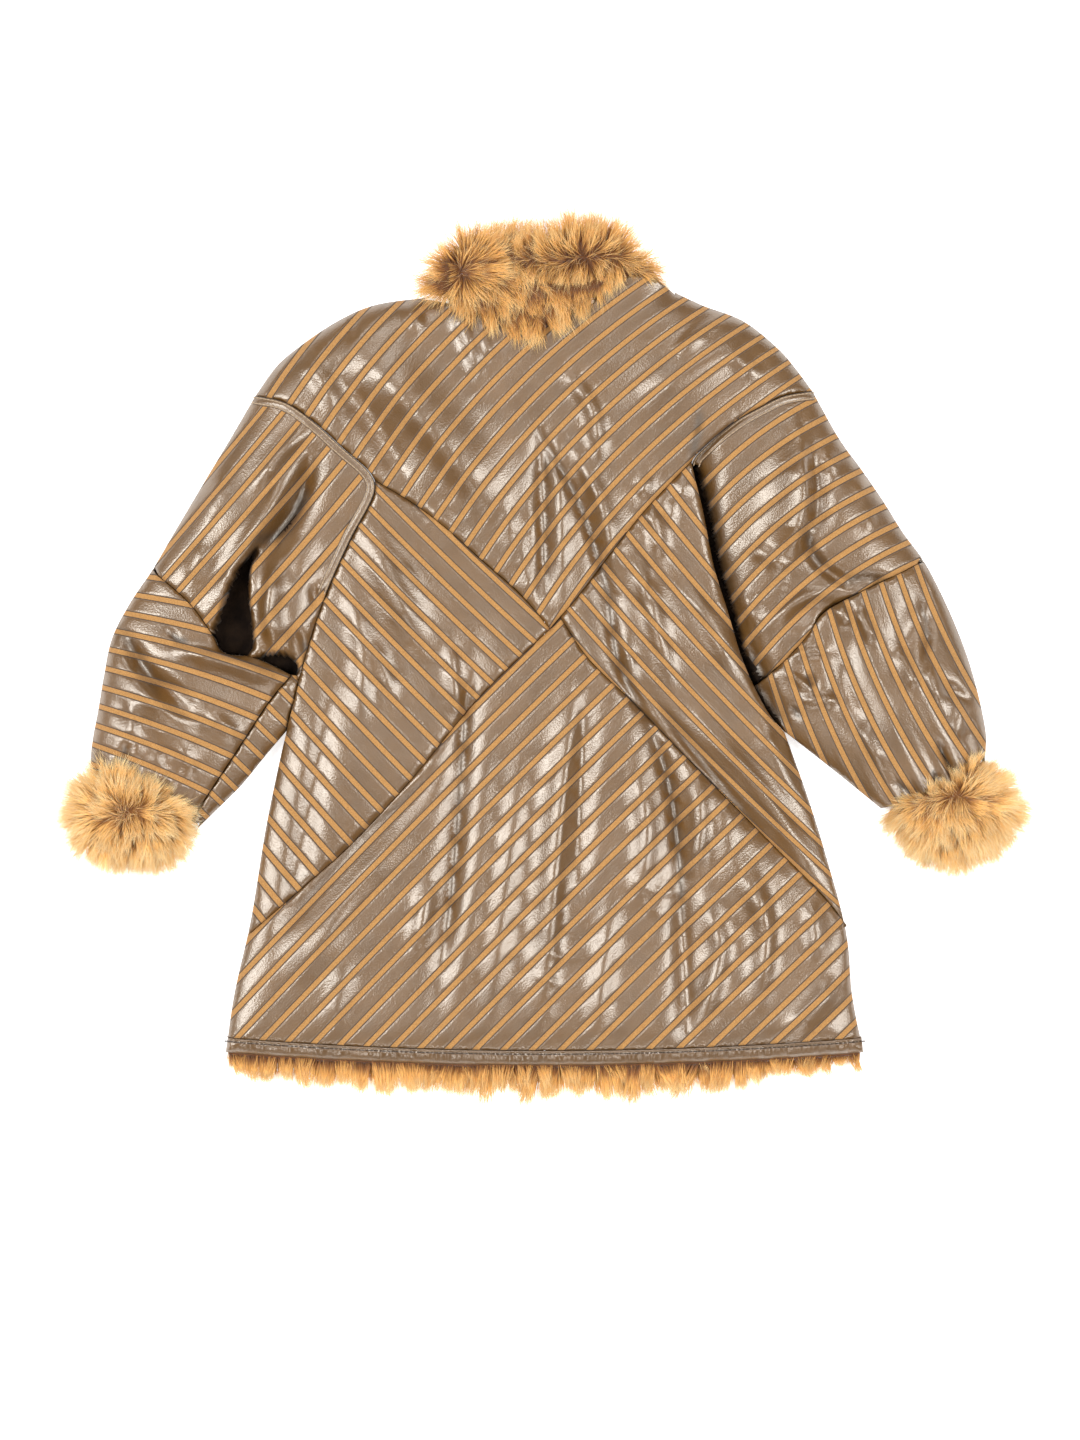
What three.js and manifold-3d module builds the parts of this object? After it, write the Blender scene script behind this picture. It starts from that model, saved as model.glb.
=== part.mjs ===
// A sheepskin coat laid flat with its back up. Millimetres, +Z up.
// The origin is on the surface it lies on, under the middle of the coat. +Y points to the collar.
// Left and right are the wearer's, so the left sleeve reaches towards -X.
import * as THREE from 'three';
import { mergeVertices } from 'three/addons/utils/BufferGeometryUtils.js';
import Module from 'manifold-3d';

const wasm = await Module();
wasm.setup();

// Driving dimensions. Each wall is a hide with its long hair pressed between the layers: the fronts
// reach up to the middle level, and the back and upper sleeves lie on them.
const gap = 0.3;
const midLevel = 18;
const rimLevel = 22;
const bodyLevel = 38;
const thinnestWall = 3;
const bodyEdgeReach = 42;
const sleeveEdgeReach = 52;
const undersideBevel = { reach: 10, rise: 6 };
const curveSpacing = 17;

// Columns close together at the rounded edges of a section, and how many lie between them.
const topGrid = { steps: [0, 5, 16], bodyRows: 32, bodyColumns: 14 };
const underGrid = { steps: [0, 5, 10], bodyRows: 16, bodyColumns: 3, bandColumns: 8, sleeveRows: 13 };
const upperSleeveGrid = { rows: 13, columns: 7 };
const lowerSleeveGrid = { rows: 13, columns: 17 };
const collarGrid = { steps: [0, 6, 16], rows: 18, columns: 4 };

// The hem is a shallow arc from side to side, with the band above it and the hair below it.
const hem = { halfWidth: 345, sideLevel: -428, sag: 14, sagFade: 160, bandWidth: 16, bandRise: 1, steps: 28 };
const backHair = { reach: 24, centreReach: 9, top: 23, fall: 0.3 };
const frontHair = { reach: 16, centreReach: 17, fall: 0.25 };
const hairLocks = { count: 30, depth: 3 };
const neckLevel = 404;

// The bands that cover the sleeve side of the upper armholes.
const armholeBandSize = { width: 10, thickness: 1.4, leftEnd: 66, rightEnd: 168 };

// Edges and seams seen from above, each a curve through a few points.
const shoulderLeft = smooth([
  [-313, 282], [-290, 314], [-271, 331], [-224, 363], [-185, 380], [-124, 389],
]);
const shoulderRight = smooth([
  [290, 287], [269, 315], [255, 331], [215, 363], [171, 380], [141, 394],
]);
const sideLeft = smooth([
  [-345, -428], [-336, -366], [-318, -285], [-302, -187], [-289, -123], [-279, -79],
]);
const sideRight = smooth([
  [345, -428], [333, -366], [327, -301], [304, -213], [286, -155], [260, -82],
]);
const armholeLeft = smooth([
  [-313, 282], [-280, 274], [-250, 254], [-220, 227], [-187, 196], [-183, 180],
  [-210, 125], [-234, 72], [-252, 22], [-270, -45], [-279, -79],
]);
const armholeRight = smooth([
  [290, 287], [258, 281], [231, 268], [207, 254], [176, 229], [160, 211], [162, 196],
  [171, 160], [183, 99], [198, 50], [217, -10], [243, -62], [260, -82],
]);
const yokePoint = [6, 30];
const yokeSeamLeft = smooth([[-183, 190], [-140, 164], [-107, 139], [-70, 106], [-25, 66], yokePoint]);
const yokeSeamRight = smooth([yokePoint, [43, 73], [73, 113], [107, 156], [158, 210]]);
const skirtSeamLeft = smooth([
  [-319, -300], [-264, -252], [-210, -204], [-144, -133], [-72, -46], yokePoint,
]);
const skirtSeamRight = smooth([
  [17, 42], [47, -2], [96, -50], [168, -124], [241, -198], [302, -260], [327, -291],
]);
const elbowSeamLeft = smooth([
  [-440, 104], [-425, 93], [-383, 57], [-359, 24], [-348, 5], [-315, -1], [-270, -22], [-250, -34],
]);
const elbowSeamRight = smooth([
  [425, 112], [384, 90], [338, 68], [300, 46], [285, 24], [262, -2], [235, -26], [210, -44],
]);
const underSeamLeft = smooth([
  [-262, -6], [-277, -24], [-297, -48], [-322, -86], [-345, -121], [-371, -160], [-392, -192],
]);
const cuffSeamLeft = smooth([
  [-505, -118], [-489, -122], [-450, -135], [-413, -152], [-371, -183], [-355, -196],
]);
const cuffSeamRight = smooth([
  [350, -172], [368, -164], [394, -157], [430, -141], [458, -123], [490, -98],
]);
const collarLower = smooth([
  [-137, 386], [-104, 374], [-70, 358], [-40, 343], [-11, 343], [20, 352], [50, 367],
  [64, 384], [88, 400], [114, 402], [142, 390],
]);
const collarOuter = smooth([
  [-139, 396], [-131, 420], [-108, 446], [-88, 461], [-48, 465], [-5, 461], [22, 468],
  [55, 474], [84, 461], [114, 433], [130, 412], [146, 398],
]);

// Sections across each sleeve, from the shoulder to just past the cuff seam. The inner end runs
// below the body as far as the underarm, and the body's outline cuts it off there.
const sleeveLeftSections = [
  { outer: [-313, 282], inner: [-300, 292] },
  { outer: [-341, 234], inner: [-205, 247] },
  { outer: [-361, 201], inner: [-163, 196] },
  { outer: [-380, 169], inner: [-172, 148] },
  { outer: [-402, 132], inner: [-194, 100] },
  { outer: [-425, 93], inner: [-216, 55] },
  { outer: [-448, 59], inner: [-236, 10] },
  { outer: [-468, 20], inner: [-256, -35] },
  { outer: [-477, -22], inner: [-277, -78] },
  { outer: [-483, -58], inner: [-301, -106] },
  { outer: [-489, -90], inner: [-328, -139] },
  { outer: [-491, -110], inner: [-357, -168] },
  { outer: [-488, -140], inner: [-390, -200] },
];
const sleeveRightSections = [
  { outer: [290, 287], inner: [277, 297] },
  { outer: [320, 234], inner: [196, 274] },
  { outer: [344, 201], inner: [143, 233] },
  { outer: [366, 169], inner: [140, 196] },
  { outer: [388, 134], inner: [150, 148] },
  { outer: [410, 104], inner: [163, 98] },
  { outer: [434, 58], inner: [184, 42] },
  { outer: [455, 7], inner: [208, -8] },
  { outer: [467, -32], inner: [234, -54] },
  { outer: [474, -62], inner: [262, -83] },
  { outer: [478, -88], inner: [313, -123] },
  { outer: [477, -107], inner: [350, -153] },
  { outer: [476, -137], inner: [386, -182] },
];
const lastSection = sleeveLeftSections.length - 1;
const underarmSection = { left: 8, right: 9 };
const elbowSections = { upperEnd: 8, lowerStart: 4.6 };
const railSteps = 16;

// Broad swells of the filled coat: place, reach, and rise above the plain level.
const swells = [
  { x: -205, y: 270, reach: 110, rise: 12 },
  { x: 185, y: 280, reach: 110, rise: 12 },
  { x: -345, y: 160, reach: 95, rise: 14 },
  { x: 325, y: 150, reach: 100, rise: 15 },
  { x: -425, y: -50, reach: 85, rise: 17 },
  { x: 405, y: -50, reach: 85, rise: 17 },
  { x: 0, y: 330, reach: 130, rise: 8 },
  { x: 0, y: -330, reach: 220, rise: -3 },
];

// Folds: a curve from start over middle to end, half width, and rise, which is below zero in a trough.
const bodyFolds = [
  { start: [-4, 250], middle: [1, 150], end: [1, 58], width: 12, rise: -5 },
  { start: [33, 222], middle: [66, 80], end: [76, 2], width: 13, rise: -6 },
  { start: [76, 2], middle: [134, -130], end: [157, -428], width: 15, rise: -7 },
  { start: [-78, 16], middle: [-92, -134], end: [-118, -400], width: 14, rise: -6 },
  { start: [114, -40], middle: [215, -168], end: [312, -280], width: 11, rise: -6 },
  { start: [-113, -123], middle: [-215, -228], end: [-313, -330], width: 12, rise: -4 },
  { start: [-210, 353], middle: [-161, 277], end: [-107, 223], width: 18, rise: 6 },
  { start: [103, 277], middle: [160, 310], end: [217, 345], width: 18, rise: 5 },
  { start: [-64, -69], middle: [-75, -240], end: [-97, -371], width: 16, rise: 4 },
  { start: [22, -36], middle: [28, -200], end: [22, -400], width: 18, rise: 5 },
  { start: [60, 191], middle: [92, 104], end: [146, 18], width: 16, rise: 5 },
  { start: [195, -133], middle: [200, -209], end: [244, -295], width: 16, rise: 5 },
];
const upperLeftFolds = [
  { start: [-250, 215], middle: [-283, 135], end: [-335, 66], width: 15, rise: -14 },
  { start: [-315, 112], middle: [-333, 52], end: [-292, -2], width: 20, rise: -24 },
  { start: [-258, 130], middle: [-265, 70], end: [-268, 0], width: 17, rise: 8 },
];
const lowerLeftFolds = [
  { start: [-461, 29], middle: [-424, -20], end: [-361, -90], width: 14, rise: -8 },
  { start: [-478, -40], middle: [-440, -70], end: [-400, -120], width: 12, rise: -5 },
];
const upperRightFolds = [
  { start: [168, 234], middle: [174, 160], end: [183, 99], width: 13, rise: -12 },
  { start: [183, 110], middle: [204, 32], end: [255, -70], width: 15, rise: -22 },
  { start: [249, 245], middle: [262, 170], end: [249, 104], width: 22, rise: 6 },
  { start: [341, 61], middle: [300, 52], end: [262, 40], width: 12, rise: -7 },
];
const lowerRightFolds = [
  { start: [225, -20], middle: [245, -60], end: [262, -86], width: 14, rise: -20 },
  { start: [414, 62], middle: [392, 20], end: [380, -30], width: 14, rise: -8 },
  { start: [330, 30], middle: [322, -30], end: [352, -90], width: 13, rise: -6 },
];
const collarFolds = [
  { start: [-36, 411], middle: [30, 408], end: [94, 414], width: 9, rise: -17 },
  { start: [-92, 452], middle: [-98, 425], end: [-106, 396], width: 8, rise: -11 },
];
const foldTaper = { endShare: 0.25, growth: 3 };

// Gathers into the cuffs: waves along the cuff seam that fade up the sleeve and at its edges.
const gathersLeft = {
  seam: cuffSeamLeft, from: [-371, -183], along: [-0.89, 0.46], pitch: 20, depth: 2, fade: 26, edge: 20,
};
const gathersRight = {
  seam: cuffSeamRight, from: [368, -164], along: [0.89, 0.46], pitch: 15, depth: 3.2, fade: 34, edge: 20,
};

// Collar: long hair rising from its outer rim and from the neck, with a rolled-over edge.
const collarOuterRise = { rim: 20, rise: 48, reach: 52 };
const collarLowerRise = { rim: 50, rise: 18, reach: 26 };
const collarUnder = { reach: 18, rise: 14 };

// Cuffs: rounded rings of long hair, flat below.
const cuffRings = [
  { level: 0, size: 0.84 }, { level: 8, size: 0.94 }, { level: 24, size: 1 }, { level: 44, size: 0.98 },
  { level: 60, size: 0.87 }, { level: 72, size: 0.66 }, { level: 79, size: 0.36 },
];
const cuffTop = 82;
const cuffSides = 30;
const cuffLeftOutline = [
  [-484, -104], [-508, -134], [-526, -168], [-520, -203], [-500, -222], [-458, -230],
  [-420, -238], [-386, -226], [-373, -198], [-366, -164], [-398, -128], [-445, -108],
];
const cuffRightOutline = [
  [470, -88], [499, -117], [519, -142], [526, -168], [512, -194], [488, -214],
  [433, -232], [387, -222], [366, -196], [359, -158], [392, -136], [436, -110],
];

// Cutters reach past the coat on every side.
const cutter = { bottom: -20, top: 140, reach: 700 };

// Finishes.
const leather = { color: 0x8f7656, roughness: 0.38, metalness: 0.35 };
const plainLeather = { color: 0x7f6a52, roughness: 0.42, metalness: 0.3 };
const fur = { color: 0xd9a458, roughness: 0.95, metalness: 0 };

// Curves and distances.
function vectors(points) {
  return points.map(([x, y]) => new THREE.Vector3(x, y, 0));
}

function smooth(points) {
  const curve = new THREE.CatmullRomCurve3(vectors(points), false, 'centripetal');
  const steps = Math.max(points.length, Math.round(curve.getLength() / curveSpacing));
  return curve.getSpacedPoints(steps).map((p) => [p.x, p.y]);
}

function along(line, t) {
  const place = THREE.MathUtils.clamp(t, 0, 1) * (line.length - 1);
  const i = Math.min(Math.floor(place), line.length - 2);
  const share = place - i;
  const [ax, ay] = line[i];
  const [bx, by] = line[i + 1];
  return [ax + (bx - ax) * share, ay + (by - ay) * share];
}

function nearest(line, x, y) {
  let best = { distance: Infinity, t: 0 };
  for (let i = 0; i < line.length - 1; i += 1) {
    const [ax, ay] = line[i];
    const [dx, dy] = [line[i + 1][0] - ax, line[i + 1][1] - ay];
    const share = THREE.MathUtils.clamp(((x - ax) * dx + (y - ay) * dy) / (dx * dx + dy * dy), 0, 1);
    const distance = Math.hypot(x - ax - share * dx, y - ay - share * dy);
    if (distance < best.distance) {
      best = { distance, t: (i + share) / (line.length - 1) };
    }
  }
  return best;
}

function closest(lines, x, y) {
  return Math.min(...lines.map((line) => nearest(line, x, y).distance));
}

function crossing(line, y) {
  for (let i = 0; i < line.length - 1; i += 1) {
    const [ax, ay] = line[i];
    const [bx, by] = line[i + 1];
    if (Math.min(ay, by) <= y && y <= Math.max(ay, by) && ay !== by) {
      return ax + ((bx - ax) * (y - ay)) / (by - ay);
    }
  }
  const [first, last] = [line[0], line.at(-1)];
  return Math.abs(first[1] - y) < Math.abs(last[1] - y) ? first[0] : last[0];
}

function shifted(line, distance) {
  return line.map(([x, y], i) => {
    const before = line[Math.max(0, i - 1)];
    const after = line[Math.min(line.length - 1, i + 1)];
    const [dx, dy] = [after[0] - before[0], after[1] - before[1]];
    const length = Math.hypot(dx, dy);
    return [x - (distance * dy) / length, y + (distance * dx) / length];
  });
}

function withoutRepeats(points) {
  const closeTogether = 0.01;
  return points.filter(([x, y], i) => {
    const [px, py] = points[(i + points.length - 1) % points.length];
    return Math.hypot(x - px, y - py) > closeTogether;
  });
}

function roundedRise(t) {
  return Math.sqrt(1 - (1 - Math.min(1, t)) ** 2);
}

// The level of the coat's upper side: rounded at its edges, with swells, folds and gathers.
function hemArc(x) {
  return Math.max(0, 1 - (x / hem.halfWidth) ** 2);
}

function hemAt(x) {
  return hem.sideLevel - hem.sag * hemArc(x);
}

function swellAt(x, y) {
  let rise = 0;
  for (const s of swells) {
    rise += s.rise * Math.exp(-((x - s.x) ** 2 + (y - s.y) ** 2) / s.reach ** 2);
  }
  return rise;
}

function withCurves(folds) {
  const foldSteps = 10;
  return folds.map((fold) => {
    const curve = new THREE.CatmullRomCurve3(vectors([fold.start, fold.middle, fold.end]));
    return { ...fold, line: curve.getSpacedPoints(foldSteps).map((p) => [p.x, p.y]) };
  });
}

function foldAt(folds, x, y) {
  let rise = 0;
  for (const fold of folds) {
    const { distance, t } = nearest(fold.line, x, y);
    const taper = Math.min(1, foldTaper.endShare + foldTaper.growth * Math.min(t, 1 - t));
    rise += fold.rise * taper * Math.exp(-((distance / fold.width) ** 2));
  }
  return rise;
}

function gatherAt(g, x, y) {
  const place = (x - g.from[0]) * g.along[0] + (y - g.from[1]) * g.along[1];
  const wave = Math.cos((2 * Math.PI * place) / g.pitch);
  const fade = Math.exp(-nearest(g.seam, x, y).distance / g.fade);
  return g.depth * wave * fade * Math.min(1, closest(sleeveEdges, x, y) / g.edge);
}

function sleeveRail(sections, side, first, last, count) {
  const rail = new THREE.CatmullRomCurve3(vectors(sections.map((section) => section[side])));
  const points = [];
  for (let i = 0; i <= count; i += 1) {
    const p = rail.getPoint((first + ((last - first) * i) / count) / lastSection);
    points.push([p.x, p.y]);
  }
  return points;
}

const hemLine = [];
for (let i = 0; i <= hem.steps; i += 1) {
  const x = hem.halfWidth * ((2 * i) / hem.steps - 1);
  hemLine.push([x, hemAt(x)]);
}
const bodyEdges = [shoulderLeft, shoulderRight, sideLeft, sideRight, hemLine];
const sleeveEdges = [
  sleeveRail(sleeveLeftSections, 'outer', 0, lastSection, railSteps),
  sleeveRail(sleeveLeftSections, 'inner', underarmSection.left, lastSection, railSteps),
  sleeveRail(sleeveRightSections, 'outer', 0, lastSection, railSteps),
  sleeveRail(sleeveRightSections, 'inner', underarmSection.right, lastSection, railSteps),
  shoulderLeft,
  shoulderRight,
];

function coatLevel(edges, reach, folds, gathers) {
  const curved = withCurves(folds);
  return (x, y) => {
    const rise = roundedRise(closest(edges, x, y) / reach);
    const gathered = gathers ? gatherAt(gathers, x, y) : 0;
    const crest = bodyLevel + swellAt(x, y) + foldAt(curved, x, y) + gathered;
    return Math.max(midLevel + thinnestWall, rimLevel + (crest - rimLevel) * rise);
  };
}

const bodyTop = coatLevel(bodyEdges, bodyEdgeReach, bodyFolds);
const upperLeftTop = coatLevel(sleeveEdges, sleeveEdgeReach, upperLeftFolds);
const lowerLeftTop = coatLevel(sleeveEdges, sleeveEdgeReach, lowerLeftFolds, gathersLeft);
const upperRightTop = coatLevel(sleeveEdges, sleeveEdgeReach, upperRightFolds);
const lowerRightTop = coatLevel(sleeveEdges, sleeveEdgeReach, lowerRightFolds, gathersRight);
const bandTop = (x, y) => bodyTop(x, y) + hem.bandRise;
const backLevel = () => midLevel + gap / 2;
const frontLevel = () => midLevel - gap / 2;

function underside(edges) {
  return (x, y) => {
    const inside = closest(edges, x, y) / undersideBevel.reach;
    return undersideBevel.rise * (1 - roundedRise(inside));
  };
}

// Solids and cutters.
function toSolid(geometry) {
  geometry.deleteAttribute('normal');
  geometry.deleteAttribute('uv');
  const merged = mergeVertices(geometry, 1e-4);
  return new wasm.Manifold(new wasm.Mesh({
    numProp: 3,
    vertProperties: new Float32Array(merged.attributes.position.array),
    triVerts: new Uint32Array(merged.index.array),
  }));
}

function meshSolid(positions, index) {
  const geometry = new THREE.BufferGeometry();
  geometry.setAttribute('position', new THREE.Float32BufferAttribute(positions, 3));
  geometry.setIndex(index);
  return toSolid(geometry);
}

// A closed wall between two levels over a grid of rows, each row running to the right as the rows
// go up.
function between(rows, top, bottom) {
  const columns = rows[0].length;
  const positions = [];
  for (const level of [top, bottom]) {
    for (const [x, y] of rows.flat()) {
      positions.push(x, y, level(x, y));
    }
  }
  const lower = rows.length * columns;
  const end = rows.length - 1;
  const side = columns - 1;
  const id = (i, j) => i * columns + j;
  const index = [];
  const quad = (a, b, c, d) => index.push(a, b, c, a, c, d);
  for (let i = 0; i < end; i += 1) {
    for (let j = 0; j < side; j += 1) {
      const [a, b, c, d] = [id(i, j), id(i, j + 1), id(i + 1, j + 1), id(i + 1, j)];
      quad(a, b, c, d);
      quad(lower + d, lower + c, lower + b, lower + a);
    }
    quad(id(i, 0), id(i + 1, 0), lower + id(i + 1, 0), lower + id(i, 0));
    quad(lower + id(i, side), lower + id(i + 1, side), id(i + 1, side), id(i, side));
  }
  for (let j = 0; j < side; j += 1) {
    quad(id(0, j + 1), id(0, j), lower + id(0, j), lower + id(0, j + 1));
    quad(id(end, j), id(end, j + 1), lower + id(end, j + 1), lower + id(end, j));
  }
  return meshSolid(positions, index);
}

function prism(outline) {
  const shape = new THREE.Shape(withoutRepeats(outline).map(([x, y]) => new THREE.Vector2(x, y)));
  const depth = cutter.top - cutter.bottom;
  const geometry = new THREE.ExtrudeGeometry(shape, { depth, bevelEnabled: false });
  geometry.translate(0, 0, cutter.bottom);
  return toSolid(geometry);
}

function ribbon(line, left, right) {
  return prism([...shifted(line, left), ...shifted(line, -right).reverse()]);
}

function seam(line) {
  return ribbon(line, gap / 2, gap / 2);
}

// Points across a section from a to b, close together near its rounded ends.
function across(a, b, edgeSteps, count) {
  const width = Math.hypot(b[0] - a[0], b[1] - a[1]);
  const inner = edgeSteps.at(-1);
  const steps = edgeSteps.map((step) => step / Math.max(width, 4 * inner));
  const first = steps.at(-1);
  const middle = [];
  for (let i = 1; i < count; i += 1) {
    middle.push(first + ((1 - 2 * first) * i) / count);
  }
  const places = [...steps, ...middle, ...steps.map((step) => 1 - step).reverse()];
  return places.map((t) => [a[0] + (b[0] - a[0]) * t, a[1] + (b[1] - a[1]) * t]);
}

function runningRight(rows) {
  const [a, b, c] = [rows[0][0], rows[0].at(-1), rows.at(-1)[0]];
  const turn = (b[0] - a[0]) * (c[1] - a[1]) - (b[1] - a[1]) * (c[0] - a[0]);
  return turn > 0 ? rows : rows.map((row) => [...row].reverse());
}

// Regions seen from above that cut the panels out.
const far = cutter.reach;
const bodyRegion = prism([
  ...sideLeft, ...[...armholeLeft].reverse(), ...shoulderLeft, [0, 420], ...[...shoulderRight].reverse(),
  ...armholeRight, ...[...sideRight].reverse(), [345, -500], [-345, -500],
]);
const collarRegion = prism([...collarLower, ...[...collarOuter].reverse()]);
const collarCut = collarRegion.add(ribbon(collarLower, gap, gap));
const yokeRegion = prism([
  [-far, 190], ...yokeSeamLeft, ...yokeSeamRight, [far, 210], [far, far], [-far, far],
]);
const skirtRegion = prism([
  [-far, -300], ...skirtSeamLeft, ...skirtSeamRight, [far, -291], [far, -far], [-far, -far],
]).subtract(yokeRegion);
const leftOfPoint = prism([[-far, -far], [yokePoint[0], -far], [yokePoint[0], far], [-far, far]]);
const leftOfCentre = prism([[-far, -far], [0, -far], [0, far], [-far, far]]);
const cuffRegionLeft = prism([...cuffSeamLeft, [-340, -far], [-far, -far], [-far, -118]]);
const cuffRegionRight = prism([...cuffSeamRight, [far, -98], [far, -far], [340, -far]]);
const upperRegionLeft = prism([...elbowSeamLeft, [0, -34], [0, far], [-440, far]]);
const upperRegionRight = prism([...elbowSeamRight, [0, -44], [0, far], [425, far]]);
const underStripLeft = prism([...underSeamLeft, [-340, -240], [-230, -120], [-240, -6]]);

const armholeSeams = seam(armholeLeft).add(seam(armholeRight));
const backSeams = seam([...yokeSeamLeft, ...yokeSeamRight.slice(1)]).add(seam(skirtSeamLeft))
  .add(seam(skirtSeamRight));
const centreSeam = seam([[0, -far], [0, far]]);

// The body: level rows from the hem to the neck, bent to the hem's arc at their lower end.
const leftBound = [...sideLeft, ...shoulderLeft];
const rightBound = [...sideRight, ...shoulderRight];
const bandEdge = hem.sideLevel + hem.bandWidth;

function bodyRows(from, to, count, edgeSteps, columns) {
  const rows = [];
  for (let i = 0; i <= count; i += 1) {
    const level = from + ((to - from) * i) / count;
    const fade = Math.max(0, 1 - (level - hem.sideLevel) / hem.sagFade);
    const [left, right] = [[crossing(leftBound, level), level], [crossing(rightBound, level), level]];
    const row = across(left, right, edgeSteps, columns);
    rows.push(row.map(([x, y]) => [x, y + fade * (hemAt(x) - hem.sideLevel)]));
  }
  return rows;
}

function bodyPanel(rows, top, bottom) {
  return between(rows, top, bottom).intersect(bodyRegion).subtract(collarCut).subtract(armholeSeams);
}

const backRows = bodyRows(bandEdge + gap / 2, neckLevel, topGrid.bodyRows, topGrid.steps,
  topGrid.bodyColumns);
const back = bodyPanel(backRows, bodyTop, backLevel).subtract(backSeams);
const backSides = back.subtract(yokeRegion).subtract(skirtRegion);
const backBandRows = bodyRows(hem.sideLevel, bandEdge - gap / 2, 1, topGrid.steps, topGrid.bodyColumns);

// The fronts lie flat below the back, with a rounded lower edge, and meet at the centre.
const frontRows = bodyRows(bandEdge + gap / 2, neckLevel, underGrid.bodyRows, underGrid.steps,
  underGrid.bodyColumns);
const fronts = bodyPanel(frontRows, frontLevel, underside(bodyEdges)).subtract(centreSeam);
const frontBandRows = bodyRows(hem.sideLevel, bandEdge - gap / 2, 1, underGrid.steps, underGrid.bandColumns);
const frontBands = between(frontBandRows, frontLevel, underside(bodyEdges)).subtract(centreSeam);

// Sleeves: sections across, cut by the armhole, elbow, under and cuff seams.
const bandLineLeft = armholeLeft.filter(([, y]) => y > armholeBandSize.leftEnd);
const bandLineRight = armholeRight.filter(([, y]) => y > armholeBandSize.rightEnd);
const bandCut = armholeBandSize.width + gap;
const bandRegions = ribbon(bandLineLeft, gap / 2, bandCut).add(ribbon(bandLineRight, bandCut, gap / 2));

function sleeveRows(sections, first, last, count, edgeSteps, columns) {
  const outer = sleeveRail(sections, 'outer', first, last, count);
  const inner = sleeveRail(sections, 'inner', first, last, count);
  return runningRight(outer.map((a, i) => across(a, inner[i], edgeSteps, columns)));
}

function upperSleeve(sections, top, region, elbowSeam) {
  const { rows, columns } = upperSleeveGrid;
  const grid = sleeveRows(sections, 0, elbowSections.upperEnd, rows, topGrid.steps, columns);
  return between(grid, top, backLevel).subtract(bodyRegion).subtract(armholeSeams)
    .subtract(bandRegions).intersect(region).subtract(seam(elbowSeam));
}

function lowerSleeve(sections, top, bottom, upperRegion, elbowSeam, cuffRegion, cuffSeam) {
  const { rows, columns } = lowerSleeveGrid;
  const grid = sleeveRows(sections, elbowSections.lowerStart, lastSection, rows, topGrid.steps, columns);
  return between(grid, top, bottom).subtract(bodyRegion).subtract(armholeSeams)
    .subtract(upperRegion).subtract(seam(elbowSeam)).subtract(cuffRegion).subtract(seam(cuffSeam));
}

function underSleeve(sections, cuffRegion, cuffSeam) {
  const { steps, sleeveRows: count, bodyColumns } = underGrid;
  const grid = sleeveRows(sections, 0, lastSection, count, steps, bodyColumns);
  return between(grid, frontLevel, underside(sleeveEdges))
    .subtract(bodyRegion).subtract(armholeSeams).subtract(cuffRegion).subtract(seam(cuffSeam));
}

const lowerLeft = lowerSleeve(sleeveLeftSections, lowerLeftTop, backLevel, upperRegionLeft, elbowSeamLeft,
  cuffRegionLeft, cuffSeamLeft).subtract(underStripLeft).subtract(seam(underSeamLeft));
const lowerRight = lowerSleeve(sleeveRightSections, lowerRightTop, backLevel, upperRegionRight,
  elbowSeamRight, cuffRegionRight, cuffSeamRight);

// The left under sleeve wraps round the inner edge and shows beside its seam, a little lower.
const stripDrop = 3;
const stripRoot = 6;
const stripTop = (x, y) => lowerLeftTop(x, y) - stripDrop;
const wrapped = lowerSleeve(sleeveLeftSections, stripTop, () => midLevel - stripRoot, upperRegionLeft,
  elbowSeamLeft, cuffRegionLeft, cuffSeamLeft).intersect(underStripLeft).subtract(seam(underSeamLeft));
const underLeft = underSleeve(sleeveLeftSections, cuffRegionLeft, cuffSeamLeft).add(wrapped);
const underRight = underSleeve(sleeveRightSections, cuffRegionRight, cuffSeamRight);
const upperLeft = upperSleeve(sleeveLeftSections, upperLeftTop, upperRegionLeft, elbowSeamLeft);
const upperRight = upperSleeve(sleeveRightSections, upperRightTop, upperRegionRight, elbowSeamRight);

function armholeBand(line, side, sleeveTop) {
  const { width, thickness } = armholeBandSize;
  const near = shifted(line, (side * gap) / 2);
  const middle = shifted(line, (side * width) / 2);
  const farSide = shifted(line, side * width);
  const level = (x, y) => {
    const share = Math.min(1, nearest(line, x, y).distance / width);
    const crown = thickness * (1 + share * (1 - share));
    return bodyTop(x, y) * (1 - share) + sleeveTop(x, y) * share + crown;
  };
  return between(runningRight(near.map((point, i) => [point, middle[i], farSide[i]])), level, backLevel);
}

// Collar, cuffs and the hair at the hem.
const collarCurves = withCurves(collarFolds);

function collarTop(x, y) {
  const [outer, lower] = [collarOuterRise, collarLowerRise];
  const fromOuter = outer.rise * roundedRise(closest([collarOuter], x, y) / outer.reach);
  const fromLower = lower.rim + lower.rise * roundedRise(closest([collarLower], x, y) / lower.reach);
  const folded = foldAt(collarCurves, x, y) * Math.min(1, (2 * fromOuter) / outer.rise);
  return Math.min(outer.rim + fromOuter, fromLower) + folded;
}

function collarBottom(x, y) {
  return collarUnder.rise * (1 - roundedRise(closest([collarOuter], x, y) / collarUnder.reach));
}

function collarSolid() {
  const { steps, rows, columns } = collarGrid;
  const grid = [];
  for (let i = 0; i <= rows; i += 1) {
    grid.push(across(along(collarLower, i / rows), along(collarOuter, i / rows), steps, columns));
  }
  return between(runningRight(grid), collarTop, collarBottom).intersect(collarRegion);
}

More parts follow.
